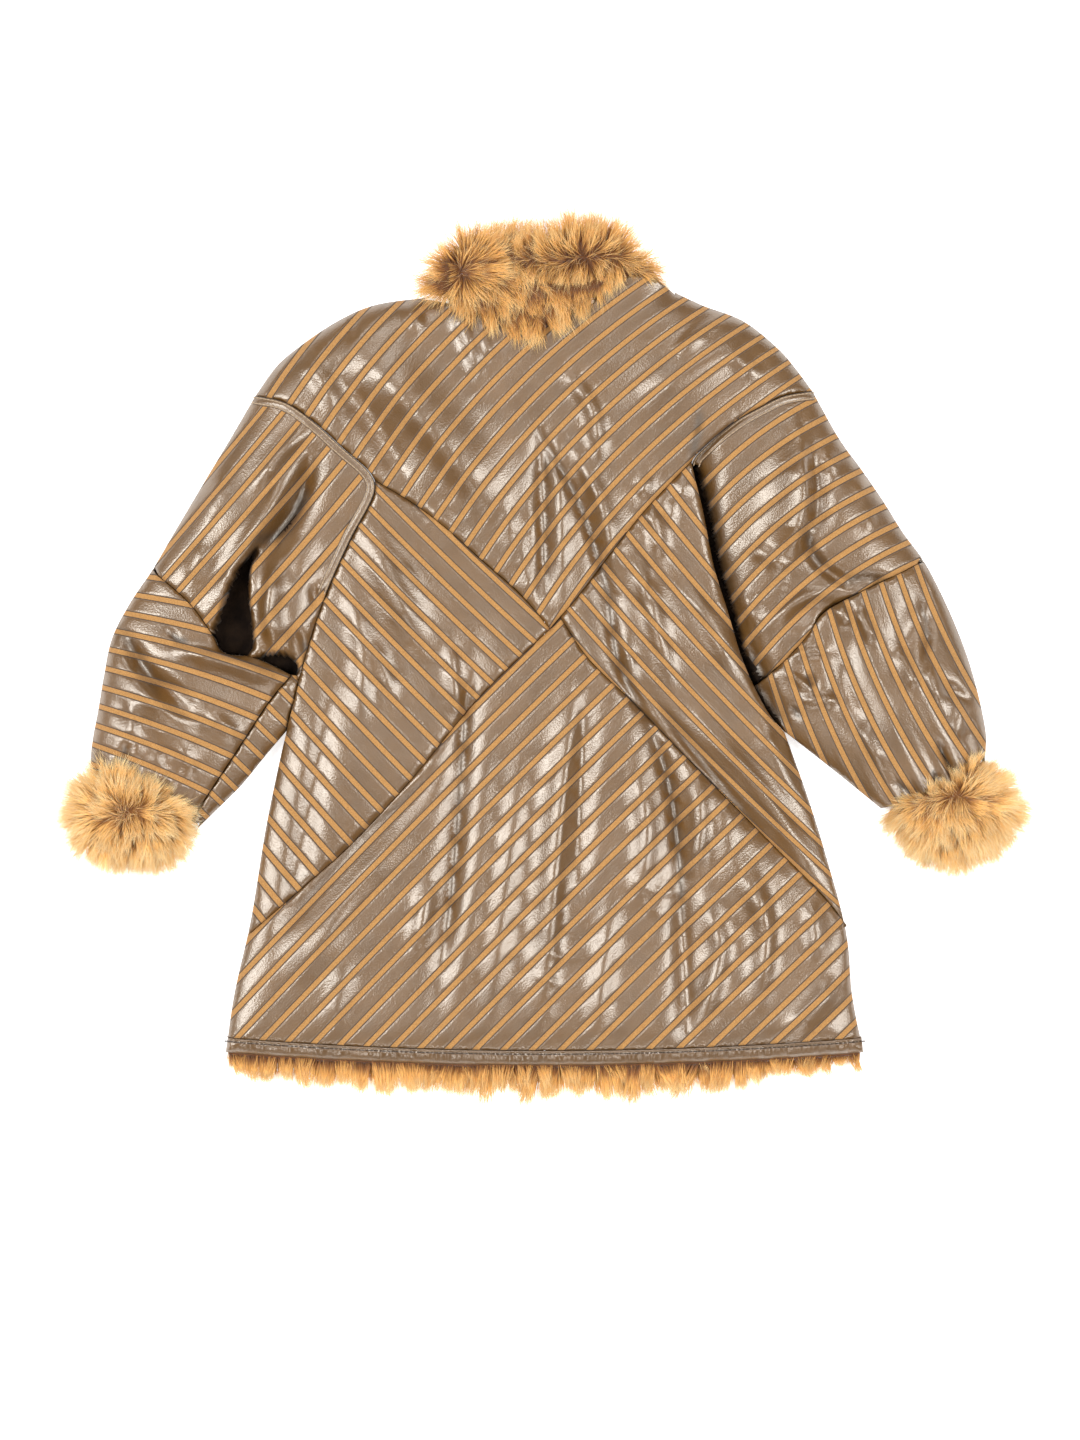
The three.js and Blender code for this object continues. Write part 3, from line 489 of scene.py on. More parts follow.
ELBOW_HOLLOW = smooth([
    (-306, 119), (-316, 99), (-319, 72), (-316, 40), (-315, 8), (-332, -6),
    (-354, 4), (-360, 18), (-351, 48), (-339, 80), (-326, 104),
], 4, closed=True)
UNDERARM_HOLLOW = smooth([
    (-316, -6), (-296, 4), (-270, -2), (-266, -18), (-282, -30), (-304, -22),
], 4, closed=True)
HOLLOWS = {  # outline, level of the floor in mm
    "upper_left": [
        (ELBOW_HOLLOW, 3),
        (UNDERARM_HOLLOW, 8),
    ],
    "upper_right": [(groove(towards_sleeve=8, towards_body=5), 8)],
}
CREASES = {  # deep creases that hardly any light reaches: points, width, how dark
    "body": [
        ((-8, 246), (38, 163), (68, 68), (80, -5), (118, -80), 3.5, 0.55),
        ((117, -78), (137, -151), (147, -237), (150, -300), 4, 0.55),
        ((-82, -40), (-91, -138), (-102, -269), (-112, -330), 3.5, 0.5),
        ((2, 242), (2, 158), (3, 61), 3, 0.4),
        ((-120, -128), (-196, -195), (-280, -290), 3.5, 0.35),
        ((119, -47), (173, -117), (236, -191), 3.5, 0.4),
        ((168, 268), (164, 235), (158, 214), 5, 0.6),
    ],
    "upper_left": [
        ((-318, 108), (-308, 124), (-287, 132), (-276, 143), (-262, 168), (-254, 188), 6.5, 0.85),
        ((-262, 20), (-256, 0), (-262, -14), 5, 0.6),
    ],
    "lower_left": [
        ((-458, 30), (-430, -14), (-405, -38), 6, 0.5),
        ((-405, 26), (-395, 18), (-384, 16), 3.5, 0.8),
        ((-452, -95), (-455, -119), 3, 0.7),
    ],
    "upper_right": [
        ((182, 270), (170, 240), (166, 212), 8, 0.9),
        ((282, 136), (290, 112), (304, 94), 5, 0.55),
        ((318, 80), (345, 86), (368, 84), 6, 0.4),
        ((216, 10), (236, -32), (252, -60), 8, 0.9),
        ((176, 190), (186, 120), (206, 40), 12, 0.55),
    ],
    "lower_right": [
        ((222, -26), (240, -56), (258, -78), 9, 0.9),
        ((408, 60), (412, 36), (411, 0), 3, 0.6),
        ((424, -91), (441, -132), 2.5, 0.9),
        ((418, -122), (424, -138), 2.5, 0.9),
        ((377, -134), (399, -150), 3, 0.7),
        ((284, -18), (290, -34), 3.5, 0.7),
        ((268, -54), (276, -68), 3.5, 0.7),
    ],
}
FOLD_DEPTH = ([4, 9], [1.2, 2.1])  # a fine fold of that width in mm is so many times deeper
UNEVENNESS = [(3.0, 80, 1.5), (0.36, 30, 4.5), (0.06, 12, 7.5)]  # height, size, seed
HOLLOW_LIP = 1.5
LEAST_LEVEL = 5


def into_hollow(outline, xy):
    """Distance from the outline, above zero inside it."""
    return nearest(np.vstack([outline, outline[:1]]), xy)[0] * np.where(inside(outline, xy), 1, -1)


def shade_at(part, xy):
    """How little light reaches each point, from 0 on open cloth to 1 inside a hollow."""
    shade = np.zeros(len(xy))
    for outline, _ in HOLLOWS.get(part, []):
        shade = np.maximum(shade, np.clip((into_hollow(outline, xy) + HOLLOW_LIP) / 4, 0, 1))
    for *points, width, dark in CREASES.get(part, []):
        away, place = nearest(smooth(points, 6), xy)
        taper = np.minimum(1, 0.2 + 4 * np.minimum(place, 1 - place))
        shade = np.maximum(shade, dark * taper * np.exp(-(away / width) ** 2))
    return shade


def coat_level(edges, reach, folds, part):
    """The level function of one part of the coat, in millimetres."""
    def level(xy):
        crest = BODY_LEVEL + swell_at(xy) + fold_at(folds, xy)
        crest += fold_at(FINE_FOLDS[part], xy, deepened=True)
        if part in GATHERS:
            crest += gather_at(GATHERS[part], xy)
        for height, size, seed in UNEVENNESS:
            crest += height * uneven(xy, size, seed)
        rise = rounded_rise(distance(edges, xy) / reach)
        full = np.maximum(MID_LEVEL + 3, RIM_LEVEL + (crest - RIM_LEVEL) * rise)
        for outline, floor in HOLLOWS.get(part, []):
            share = np.clip((into_hollow(outline, xy) + HOLLOW_LIP) / 5, 0, 1)
            full += (np.minimum(full, floor) - full) * share * share * (3 - 2 * share)
        return np.maximum(LEAST_LEVEL, full)
    return level


body_level = coat_level(BODY_EDGES, BODY_REACH, BODY_FOLDS, "body")
LEVELS = {
    "upper_left": coat_level(SLEEVE_EDGES, SLEEVE_REACH, UPPER_LEFT_FOLDS, "upper_left"),
    "lower_left": coat_level(SLEEVE_EDGES, SLEEVE_REACH, LOWER_LEFT_FOLDS, "lower_left"),
    "upper_right": coat_level(SLEEVE_EDGES, SLEEVE_REACH, UPPER_RIGHT_FOLDS, "upper_right"),
    "lower_right": coat_level(SLEEVE_EDGES, SLEEVE_REACH, LOWER_RIGHT_FOLDS, "lower_right"),
}
print("Level in the middle of the back, mm:", body_level(np.array([[0.0, 100.0]])).round(1))

# %% [markdown]
# ## Strips as a count across the panel
#
# A strip pattern is a number that grows by one from each suede stripe to the next. On a panel that
# lies flat and straight it grows evenly across the strips. Where the cloth was pushed, the strips
# bend, fan out or crowd together, which three small numbers describe. The same count gives the mesh
# its lines and the material its pattern, so both follow the cloth.

# %% Strip fields
DECIMETRE = 100
FIELDS = {  # direction in degrees, centre, pitch in mm, start, bend, fan, crowd
    "back_yoke": (49.1, (-40, 230), 21.56, 0.41, 0.273, 0.039, -0.058),
    "back_side_left": (-46.3, (-190, -20), 21.97, 0.99, -0.053, -0.144, 0.104),
    "back_side_right": (-47.6, (170, 10), 20.13, 0.07, -0.085, 0.110, -0.270),
    "back_skirt": (44.8, (0, -240), 21.88, 0.52, 0.021, -0.016, 0.020),
    "sleeve_left_upper": (49.2, (-330, 170), 20.3, 0.82, -0.05, -0.02, 0.50),
    "sleeve_left_lower": (-18.7, (-400, -50), 22.44, 0.30, 0.232, -0.427, -0.082),
    "sleeve_right_upper": (35.7, (270, 180), 22.54, 0.83, 0.518, -0.164, 0.033),
    "sleeve_right_lower": (-65.3, (380, -20), 22.0, 0.07, -0.331, -0.244, -0.112),
    "sleeve_left_under": (-45, (-330, -100), 22.0, 0.5, 0, 0, 0),
    "sleeve_right_under": (45, (330, -100), 22.0, 0.5, 0, 0, 0),
    "front_left": (-45, (-170, 0), 22.0, 0.5, 0, 0, 0),
    "front_right": (45, (170, 0), 22.0, 0.5, 0, 0, 0),
}


def strip_axes(field):
    """Unit directions along and across the strips."""
    turn = math.radians(field[0])
    return np.array([math.cos(turn), math.sin(turn)]), np.array([-math.sin(turn), math.cos(turn)])


def strip_count(field, a, b):
    """The strip count at a along and b across the strips, both in decimetres from the centre."""
    _, _, pitch, start, bend, fan, crowd = field
    return start + b * DECIMETRE / pitch + bend * a * a + fan * a * b + crowd * b * b


def strip_places(field, xy):
    """How far each point lies along and across the strips, in decimetres from the field's centre."""
    along, across = strip_axes(field)
    offset = (xy - field[1]) / DECIMETRE
    return offset @ along, offset @ across


def strip_line_points(field, outline, counts, spacing):
    """Rows of points, each row along one value of the count, as (rows, points, 2)."""
    along, across = strip_axes(field)
    a_edge, _ = strip_places(field, outline)
    a = np.arange(a_edge.min() - 0.05, a_edge.max() + 0.05, spacing / DECIMETRE)
    a = np.tile(a, (len(counts), 1))
    pitch, bend, fan, crowd = field[2], field[4], field[5], field[6]
    b = np.tile((counts[:, None] - field[3]) * pitch / DECIMETRE, (1, a.shape[1]))
    for _ in range(12):
        slope = DECIMETRE / pitch + fan * a + 2 * crowd * b
        slope = np.maximum(slope, 1.0)
        b = b - np.clip((strip_count(field, a, b) - counts[:, None]) / slope, -0.3, 0.3)
    return np.array(field[1]) + DECIMETRE * (a[..., None] * along + b[..., None] * across)


for name, field in FIELDS.items():
    print(name, "strips", field[2], "mm apart, at", field[0], "degrees")

# %% [markdown]
# ## A panel as a thin shell
#
# A panel could be cut from a grid with booleans, but then its strips would run across the faces. Here
# the mesh lines run along the strips instead. Rows of points follow the strip count, the panel's
# outline is laid over them, and a constrained Delaunay triangulation joins everything with clean
# edges. The strips stand a little proud of the suede between them, and the shell gets an inner side
# and a rim, so it is closed and a few millimetres thick, as cloth is.

# %% Panel shells
SUEDE_HALF = 0.12
EDGE_WIDTH = 0.045
EDGE_LINES = [SUEDE_HALF, SUEDE_HALF + EDGE_WIDTH, 1 - SUEDE_HALF - EDGE_WIDTH, 1 - SUEDE_HALF]
SHOWN_LINES = (EDGE_LINES, [0, 0.30, 0.5, 0.70], 3.6)
HIDDEN_LINES = ([SUEDE_HALF, 1 - SUEDE_HALF], [0.5], 9)
STRIP_RELIEF = ([0, SUEDE_HALF, SUEDE_HALF + EDGE_WIDTH, 0.30, 0.5], [-0.5, -0.35, 0.15, 0.2, 0.2])
CLOTH_THICKNESS = 1.5
SEAM_ROOM = 0.35
SEAM_DEPTH, SEAM_REACH = 2.4, 2.2
PUCKER_RISE, PUCKER_REACH, PUCKER_SIZE = 0.7, 9, 6
ROW_ROOM = 1.1  # rows of points end that far from the panel's edge
UV_SCALE = 4.5


def shrunk(outline, room):
    """The outline moved inwards by room."""
    before, after = np.roll(outline, 1, axis=0), np.roll(outline, -1, axis=0)
    way = after - before
    way /= np.maximum(np.hypot(*way.T), 1e-6)[:, None]
    area = np.sum(outline[:, 0] * after[:, 1] - after[:, 0] * outline[:, 1])
    side = 1 if area > 0 else -1
    return outline + side * room * np.stack([-way[:, 1], way[:, 0]], axis=1)


def joined(*lines):
    """One closed outline of several lines, without repeated points."""
    points = np.vstack([np.atleast_2d(np.array(line, float)) for line in lines])
    apart = np.hypot(*(points - np.roll(points, 1, axis=0)).T) > 0.6
    return points[apart]


def trimmed(outline, result):
    """Points and faces of a triangulation, with only the faces that lie inside the outline."""
    points = np.array([tuple(v) for v in result[0]])
    faces = np.array([f for f in result[2] if len(f) == 3])
    faces = faces[inside(outline, points[faces].mean(axis=1))]
    used, faces = np.unique(faces, return_inverse=True)
    return points[used], faces.reshape(-1, 3)


def strip_mesh(field, outline, lines):
    """Triangles over the outline's inside, with their edges along the strips. Returns points, faces."""
    edge_lines, soft_lines, spacing = lines
    a, b = strip_places(field, outline)
    reach = strip_count(field, a, b)
    whole = np.arange(math.floor(reach.min()) - 2, math.ceil(reach.max()) + 2)
    counts = (whole[:, None] + np.array(edge_lines + soft_lines)[None, :]).ravel()
    rows = strip_line_points(field, outline, counts, spacing)
    flat = rows.reshape(-1, 2)
    near = nearest(np.vstack([outline, outline[:1]]), flat)[0]
    kept = (inside(outline, flat) & (near > ROW_ROOM)).reshape(rows.shape[:2])
    strip_edge = np.tile(np.arange(len(edge_lines + soft_lines)) < len(edge_lines), len(whole))
    wanted = kept.copy()
    for i in np.nonzero(strip_edge)[0]:
        wanted[i, 1:] |= kept[i, :-1]
        wanted[i, :-1] |= kept[i, 1:]
    index = np.full(wanted.shape, -1)
    index[wanted] = np.arange(wanted.sum()) + len(outline)
    points = np.vstack([outline, rows[wanted]])
    edges = []
    for i in np.nonzero(strip_edge)[0]:
        linked = (index[i, :-1] >= 0) & (index[i, 1:] >= 0) & (kept[i, :-1] | kept[i, 1:])
        for j in np.nonzero(linked)[0]:
            edges.append((int(index[i, j]), int(index[i, j + 1])))
    ring = list(range(len(outline)))
    result = delaunay_2d_cdt([Vector(p) for p in points.tolist()], edges, [ring], 1, 1e-5, False)
    return trimmed(outline, result)


def boundary_edges(faces):
    """Edges that only one face uses, each in that face's direction."""
    edges = np.vstack([faces[:, [0, 1]], faces[:, [1, 2]], faces[:, [2, 0]]])
    keys = {}
    for a, b in edges.tolist():
        keys[(a, b)] = True
    return np.array([(a, b) for a, b in edges.tolist() if (b, a) not in keys])


def mesh_object(name, points, faces, materials):
    """A smooth-shaded mesh object from points in millimetres."""
    mesh = bpy.data.meshes.new(name)
    mesh.from_pydata((points * MM).tolist(), [], faces)
    mesh.update()
    obj = bpy.data.objects.new(name, mesh)
    bpy.context.scene.collection.objects.link(obj)
    for material in materials:
        mesh.materials.append(material)
    mesh.polygons.foreach_set("use_smooth", [True] * len(mesh.polygons))
    return obj


def seam_press(xy, seams):
    """Cloth dips into a seam, with small puckers along it."""
    press = np.zeros(len(xy))
    for k, seam in enumerate(seams):
        away, place = nearest(seam, xy)
        length = np.hypot(*np.diff(seam, axis=0).T).sum()
        pucker = uneven(np.stack([place * length, np.full(len(xy), 40.0 * k)], axis=1), PUCKER_SIZE, 8.5)
        press -= SEAM_DEPTH * np.exp(-(away / SEAM_REACH) ** 2)
        press += PUCKER_RISE * pucker * np.exp(-(away / PUCKER_REACH) ** 2)
    return press


def shell(name, outline, level, field, seams=(), outer=(), rim_level=UPPER_RIM, facing=1,
          lines=SHOWN_LINES, beside=None, part=None):
    """A closed thin shell over the outline. Its shown side faces up, or down where facing is -1.
    beside is the level of a lower neighbour, down to which the rim reaches. part names the creases."""
    edge = shrunk(outline, SEAM_ROOM)
    xy, faces = strip_mesh(FIELDS[field], edge, lines)
    a, b = strip_places(FIELDS[field], xy)
    count = strip_count(FIELDS[field], a, b)
    off_suede = np.abs(count - np.round(count))
    relief = np.interp(off_suede, *STRIP_RELIEF)
    shown = level(xy) + facing * relief + facing * seam_press(xy, seams)
    if facing < 0:
        shown = np.maximum(shown, 0)
    rim = boundary_edges(faces)
    hidden = shown - facing * CLOTH_THICKNESS
    on_rim = np.zeros(len(xy), bool)
    on_rim[rim.ravel()] = True
    hidden[on_rim] = shown[on_rim] - facing * 2 * CLOTH_THICKNESS
    if beside:
        hidden[on_rim] = np.minimum(hidden[on_rim], beside(xy[on_rim]) - 1)
    if len(outer):
        outside = on_rim & (distance(outer, xy) < 1.5)
        hidden[outside] = rim_level
    points = np.vstack([np.column_stack([xy, shown]), np.column_stack([xy, hidden])])
    n = len(xy)
    top = faces if facing > 0 else faces[:, ::-1]
    under = top[:, ::-1] + n
    walls = [(b, a, a + n, b + n) if facing > 0 else (a, b, b + n, a + n) for a, b in rim.tolist()]
    obj = mesh_object(
        name + "_leather", points, top.tolist() + under.tolist() + walls,
        [nappa_strips, ochre_suede, painted_shade_leather])
    mesh = obj.data
    # Painted shade: how little light reaches each point is kept on the mesh, and it darkens the colour of
    # the leather and the suede.
    shade = shade_at(part, xy)
    mesh.attributes.new("painted_shade", "FLOAT", "POINT").data.foreach_set("value", np.tile(shade, 2))
    off_face = np.abs(count[faces].mean(axis=1) - np.round(count[faces].mean(axis=1)))
    shown_slot = (off_face < SUEDE_HALF).astype(int)
    # Faces far inside a hollow, and the rim walls there, get the near-black leather that paints their
    # shade.
    shown_slot[shade[faces].mean(axis=1) > 0.8] = 2
    wall_slot = np.where(shade[rim].mean(axis=1) > 0.5, 2, 0)
    slots = np.concatenate([shown_slot, shown_slot, wall_slot])
    mesh.polygons.foreach_set("material_index", slots.tolist())
    corners = np.zeros(len(mesh.loops), int)
    mesh.loops.foreach_get("vertex_index", corners)
    uv = np.column_stack([np.tile(count, 2)[corners], np.tile(a * UV_SCALE, 2)[corners]])
    mesh.uv_layers.new(name="strips").data.foreach_set("uv", uv.ravel().tolist())
    area = plan_area(xy, faces)
    print(name, "triangles:", 2 * len(faces) + 2 * len(walls), "plan area m2:", round(area, 4))
    return obj, area


def plan_area(xy, faces):
    """The area of the faces seen from above, in square metres."""
    a, b, c = xy[faces[:, 0]], xy[faces[:, 1]], xy[faces[:, 2]]
    cross = (b - a)[:, 0] * (c - a)[:, 1] - (b - a)[:, 1] * (c - a)[:, 0]
    return float(np.abs(cross).sum() / 2 * MM * MM)


# %% [markdown]
# ## Leather, suede and hair
#
# The strips are metallic brown nappa: a thin foil on leather, with a fine grain and a soft sheen, so
# folds catch pale light. The suede between them is ochre and has no shine. Hair is darker and redder
# at its root and pale at its tip, and its dark roots and skin also paint the shade low in the pile.
# Painted shade darkens the leather and the suede in creases and hollows. All the patterns are
# procedural. They read the object's own coordinates in metres, or the strip count that is kept in
# each panel's UV map.

# %% Material helper
def new_material(name, **settings):
    """A material with one Principled shader, whose fixed numbers are set on its own sockets."""
    material = bpy.data.materials.new(name)
    material.use_nodes = True
    tree = material.node_tree
    shader = tree.nodes["Principled BSDF"]
    for socket, value in settings.items():
        shader.inputs[socket.replace("_", " ")].default_value = value
    return material, tree, shader


def add(tree, kind, links=(), **values):
    """Adds a node, sets its options or inputs, and links outputs of other nodes to its inputs."""
    node = tree.nodes.new(kind)
    for key, value in values.items():
        if hasattr(node, key):
            setattr(node, key, value)
        else:
            node.inputs[key.replace("_", " ")].default_value = value
    for socket, output in dict(links).items():
        tree.links.new(output, node.inputs[socket])
    return node


def ramp(tree, value, stops):
    """The colour that belongs to the value, between stops of place and colour."""
    node = add(tree, "ShaderNodeValToRGB", {"Fac": value})
    elements = node.color_ramp.elements
    while len(elements) < len(stops):
        elements.new(0.5)
    for element, (place, colour) in zip(elements, stops):
        element.position = place
        element.color = (*colour, 1)
    return node.outputs["Color"]


def mixed(tree, share, a, b, mode="MIX"):
    """Two colours mixed, or multiplied, in the share given."""
    node = tree.nodes.new("ShaderNodeMix")
    node.data_type = "RGBA"
    node.blend_type = mode
    sockets = [s for s in node.inputs if s.enabled]
    for socket, value in zip(sockets, (share, a, b)):
        if hasattr(value, "links"):
            tree.links.new(value, socket)
        elif socket.type == "RGBA":
            socket.default_value = (*value, 1)
        else:
            socket.default_value = value
    return [s for s in node.outputs if s.enabled][0]


def object_place(tree):
    return add(tree, "ShaderNodeTexCoord").outputs["Object"]


def speckle(tree, scale, detail=3, roughness=0.55):
    """A cloudy pattern with about scale spots in a metre."""
    node = add(tree, "ShaderNodeTexNoise", {"Vector": object_place(tree)},
               Detail=detail, Roughness=roughness)
    node.inputs["Scale"].default_value = scale
    return node.outputs["Fac"]


def bump(tree, shader, height, strength, depth):
    node = add(tree, "ShaderNodeBump", {"Height": height}, Strength=strength, Distance=depth)
    tree.links.new(node.outputs["Normal"], shader.inputs["Normal"])


def math_node(tree, operation, *values):
    """One sum on numbers or on the outputs of other nodes."""
    node = tree.nodes.new("ShaderNodeMath")
    node.operation = operation
    for socket, value in zip(node.inputs, values):
        if hasattr(value, "links"):
            tree.links.new(value, socket)
        else:
            socket.default_value = value
    return node.outputs[0]


# %% Leather
FOIL_TINT = (1.0, 0.955, 0.87, 1.0)
SHEEN_ROUGHNESS = (0.29, 0.42)
GRAIN_SCALE = 560.0


def with_painted_shade(tree, colour):
    """The colour with painted shade: darker in the creases and hollows that hardly any light reaches."""
    painted_shade = add(tree, "ShaderNodeAttribute", attribute_name="painted_shade").outputs["Fac"]
    darker = ramp(tree, painted_shade, [(0.0, (1, 1, 1)), (1.0, (0.04, 0.03, 0.02))])
    return mixed(tree, 1.0, colour, darker, "MULTIPLY")


def leather_material(name, tone, strips):
    """Nappa with a soft foil sheen. Where strips is true, the strip edges are darker."""
    material, tree, shader = new_material(name, Metallic=0.0, IOR=2.15, Specular_Tint=FOIL_TINT)
    cloudy = speckle(tree, 28, 4)
    fine = speckle(tree, 700, 2)
    base = ramp(tree, cloudy, [(0.3, [c * 0.86 for c in tone]), (0.7, [c * 1.12 for c in tone])])
    grainy = ramp(tree, fine, [(0.3, (0.6, 0.55, 0.5)), (0.75, (1, 1, 1))])
    base = mixed(tree, 0.35, base, grainy, "MULTIPLY")
    if strips:
        count = add(tree, "ShaderNodeUVMap", uv_map="strips").outputs["UV"]
        across = add(tree, "ShaderNodeSeparateXYZ", {"Vector": count}).outputs["X"]
        off = math_node(tree, "PINGPONG", across, 0.5)
        shade = [(SUEDE_HALF, (0.2, 0.14, 0.1)), (SUEDE_HALF + 0.035, (0.35, 0.28, 0.22)),
                 (SUEDE_HALF + 0.075, (1, 1, 1))]
    else:
        # On a band the row attribute darkens its edges and paints shade into the grooves of its stitch
        # rows.
        off = add(tree, "ShaderNodeAttribute", attribute_name="row").outputs["Fac"]
        shade = [(0.0, (1, 1, 1)), (1.0, (0.3, 0.24, 0.2))]
    base = mixed(tree, 1.0, base, ramp(tree, off, shade), "MULTIPLY")
    # Painted shade darkens the leather in creases and hollows.
    tree.links.new(with_painted_shade(tree, base), shader.inputs["Base Color"])
    patchy = add(tree, "ShaderNodeMapRange", {"Value": speckle(tree, 60, 4)},
                 To_Min=SHEEN_ROUGHNESS[0], To_Max=SHEEN_ROUGHNESS[1])
    matt = ramp(tree, off, [(place, [0.9 * (1 - colour[0])] * 3) for place, colour in shade])
    rough = math_node(tree, "ADD", patchy.outputs["Result"], matt)
    painted_shade = add(tree, "ShaderNodeAttribute", attribute_name="painted_shade").outputs["Fac"]
    duller = math_node(tree, "MULTIPLY", painted_shade, 0.12)
    tree.links.new(math_node(tree, "ADD", rough, duller), shader.inputs["Roughness"])
    grain = add(tree, "ShaderNodeTexVoronoi", {"Vector": object_place(tree)}, Scale=GRAIN_SCALE)
    wrinkles = math_node(tree, "MULTIPLY", speckle(tree, 110, 4), 0.9)
    pores = math_node(tree, "MULTIPLY", grain.outputs["Distance"], 0.8)
    bump(tree, shader, math_node(tree, "ADD", pores, wrinkles), strength=0.36, depth=0.0006)
    return material


nappa_strips = leather_material("nappa_strips", (0.138, 0.063, 0.012), strips=True)
nappa_plain = leather_material("nappa_plain", (0.134, 0.062, 0.013), strips=False)

# %% Leather painted near-black for the shade in a hollow
# Painted shade: a near-black, dull leather stands for the shade on the floors and walls of the hollows.
painted_shade_leather, tree, shader = new_material("painted_shade_leather", Roughness=0.9, IOR=1.25)
browns = ramp(tree, speckle(tree, 60, 3), [(0.3, (0.006, 0.003, 0.002)), (0.7, (0.022, 0.012, 0.006))])
tree.links.new(browns, shader.inputs["Base Color"])

# %% Suede and thread
ochre_suede, tree, shader = new_material("ochre_suede", Roughness=0.85, Sheen_Weight=0.1)
nap = speckle(tree, 900, 3)
tone = ramp(tree, nap, [(0.3, (0.31, 0.145, 0.04)), (0.7, (0.5, 0.26, 0.078))])
# Painted shade darkens the suede in creases and hollows.
tree.links.new(with_painted_shade(tree, tone), shader.inputs["Base Color"])
bump(tree, shader, nap, strength=0.3, depth=0.0004)


def thread_material(name, dark, light):
    """Thread whose colour changes a little from fibre to fibre."""
    material, tree, shader = new_material(name, Roughness=0.7)
    fibre = ramp(tree, speckle(tree, 1500, 2), [(0.3, dark), (0.7, light)])
    tree.links.new(fibre, shader.inputs["Base Color"])
    return material


brown_thread = thread_material("brown_thread", (0.03, 0.018, 0.012), (0.07, 0.045, 0.03))
pale_thread = thread_material("pale_thread", (0.30, 0.21, 0.13), (0.5, 0.37, 0.24))

# %% Hair
def hair_material(name, stops):
    """Hair whose colour runs from root to tip, with a little variety from hair to hair."""
    material, tree, shader = new_material(name, Roughness=0.5, Sheen_Weight=0.3, Specular_IOR_Level=0.3)
    along = add(tree, "ShaderNodeAttribute", attribute_name="along").outputs["Fac"]
    shade = add(tree, "ShaderNodeAttribute", attribute_name="shade").outputs["Fac"]
    variety = ramp(tree, shade, [(0.0, (0.72, 0.64, 0.55)), (0.5, (0.96, 0.93, 0.88)), (1.0, (1, 1, 1))])
    colour = mixed(tree, 1.0, ramp(tree, along, stops), variety, "MULTIPLY")
    tree.links.new(colour, shader.inputs["Base Color"])
    return material


# Both hairs are dark at the root: partly their own darker colour, partly painted shade low in the pile.
sheep_hair = hair_material("sheep_hair", [
    (0.0, (0.09, 0.03, 0.006)), (0.2, (0.34, 0.135, 0.028)),
    (0.5, (0.90, 0.50, 0.14)), (1.0, (1.0, 0.80, 0.42)),
])
# Painted light: a paler copy of the hair colours, so that the cuffs look more brightly lit than the
# collar.
painted_light_hair = hair_material("painted_light_hair", [
    (0.0, (0.16, 0.06, 0.012)), (0.2, (0.55, 0.25, 0.06)),
    (0.45, (1.0, 0.62, 0.20)), (1.0, (1.0, 0.88, 0.56)),
])
print("Materials:", [m.name for m in bpy.data.materials])

# %% [markdown]
# ## The back panels
#
# The back is a yoke that comes to a point, two triangular side panels and a skirt, sewn along slanting
# seams. Each outline is read round the panel from the named seams.

# %% Back panels
def above(line, level):
    """The part of the line above y = level."""
    return line[line[:, 1] > level]


def below(line, level):
    """The part of the line at or below y = level."""
    return line[line[:, 1] <= level]


def between(line, left, right):
    """The part of the line from x = left to x = right."""
    return line[(line[:, 0] > left) & (line[:, 0] < right)]


BACK_SEAMS = [YOKE_SEAM_LEFT, YOKE_SEAM_RIGHT, SKIRT_SEAM_LEFT, SKIRT_SEAM_RIGHT]
ARMHOLES = [ARMHOLE_LEFT, ARMHOLE_RIGHT]
OUTLINES = {
    "back_yoke": joined(
        above(ARMHOLE_LEFT, 191), YOKE_SEAM_LEFT, YOKE_SEAM_RIGHT, above(ARMHOLE_RIGHT, 211)[::-1],
        SHOULDER_RIGHT, NECK_EDGE[::-1], SHOULDER_LEFT[::-1]),
    "back_side_left": joined(
        YOKE_SEAM_LEFT, SKIRT_SEAM_LEFT[::-1], above(SIDE_LEFT, -299), below(ARMHOLE_LEFT, 189)[::-1]),
    "back_side_right": joined(
        above(YOKE_SEAM_RIGHT, 43)[::-1], SKIRT_SEAM_RIGHT, above(SIDE_RIGHT, -290),
        below(ARMHOLE_RIGHT, 209)[::-1]),
    "back_skirt": joined(
        SKIRT_SEAM_LEFT, SKIRT_SEAM_RIGHT, above(below(SIDE_RIGHT, -292), -411)[::-1],
        BAND_LINE[::-1] + (0, GAP), above(below(SIDE_LEFT, -301), -411)),
}
OUTER = [SHOULDER_LEFT, SHOULDER_RIGHT, SIDE_LEFT, SIDE_RIGHT]
shells, areas = {}, {}
for name, outline in OUTLINES.items():
    seams = BACK_SEAMS + ARMHOLES
    beside = LEVELS["upper_right"] if name in ("back_yoke", "back_side_right") else None
    shells[name], areas[name] = shell(
        name, outline, body_level, name, seams, OUTER, beside=beside, part="body")

# %% [markdown]
# ## Sleeves
#
# Each sleeve has an upper piece that comes down to the elbow, a lower piece that is gathered into the
# cuff, and an under sleeve. The left under sleeve wraps round the inner edge, so a narrow strip of it
# shows beside its seam.

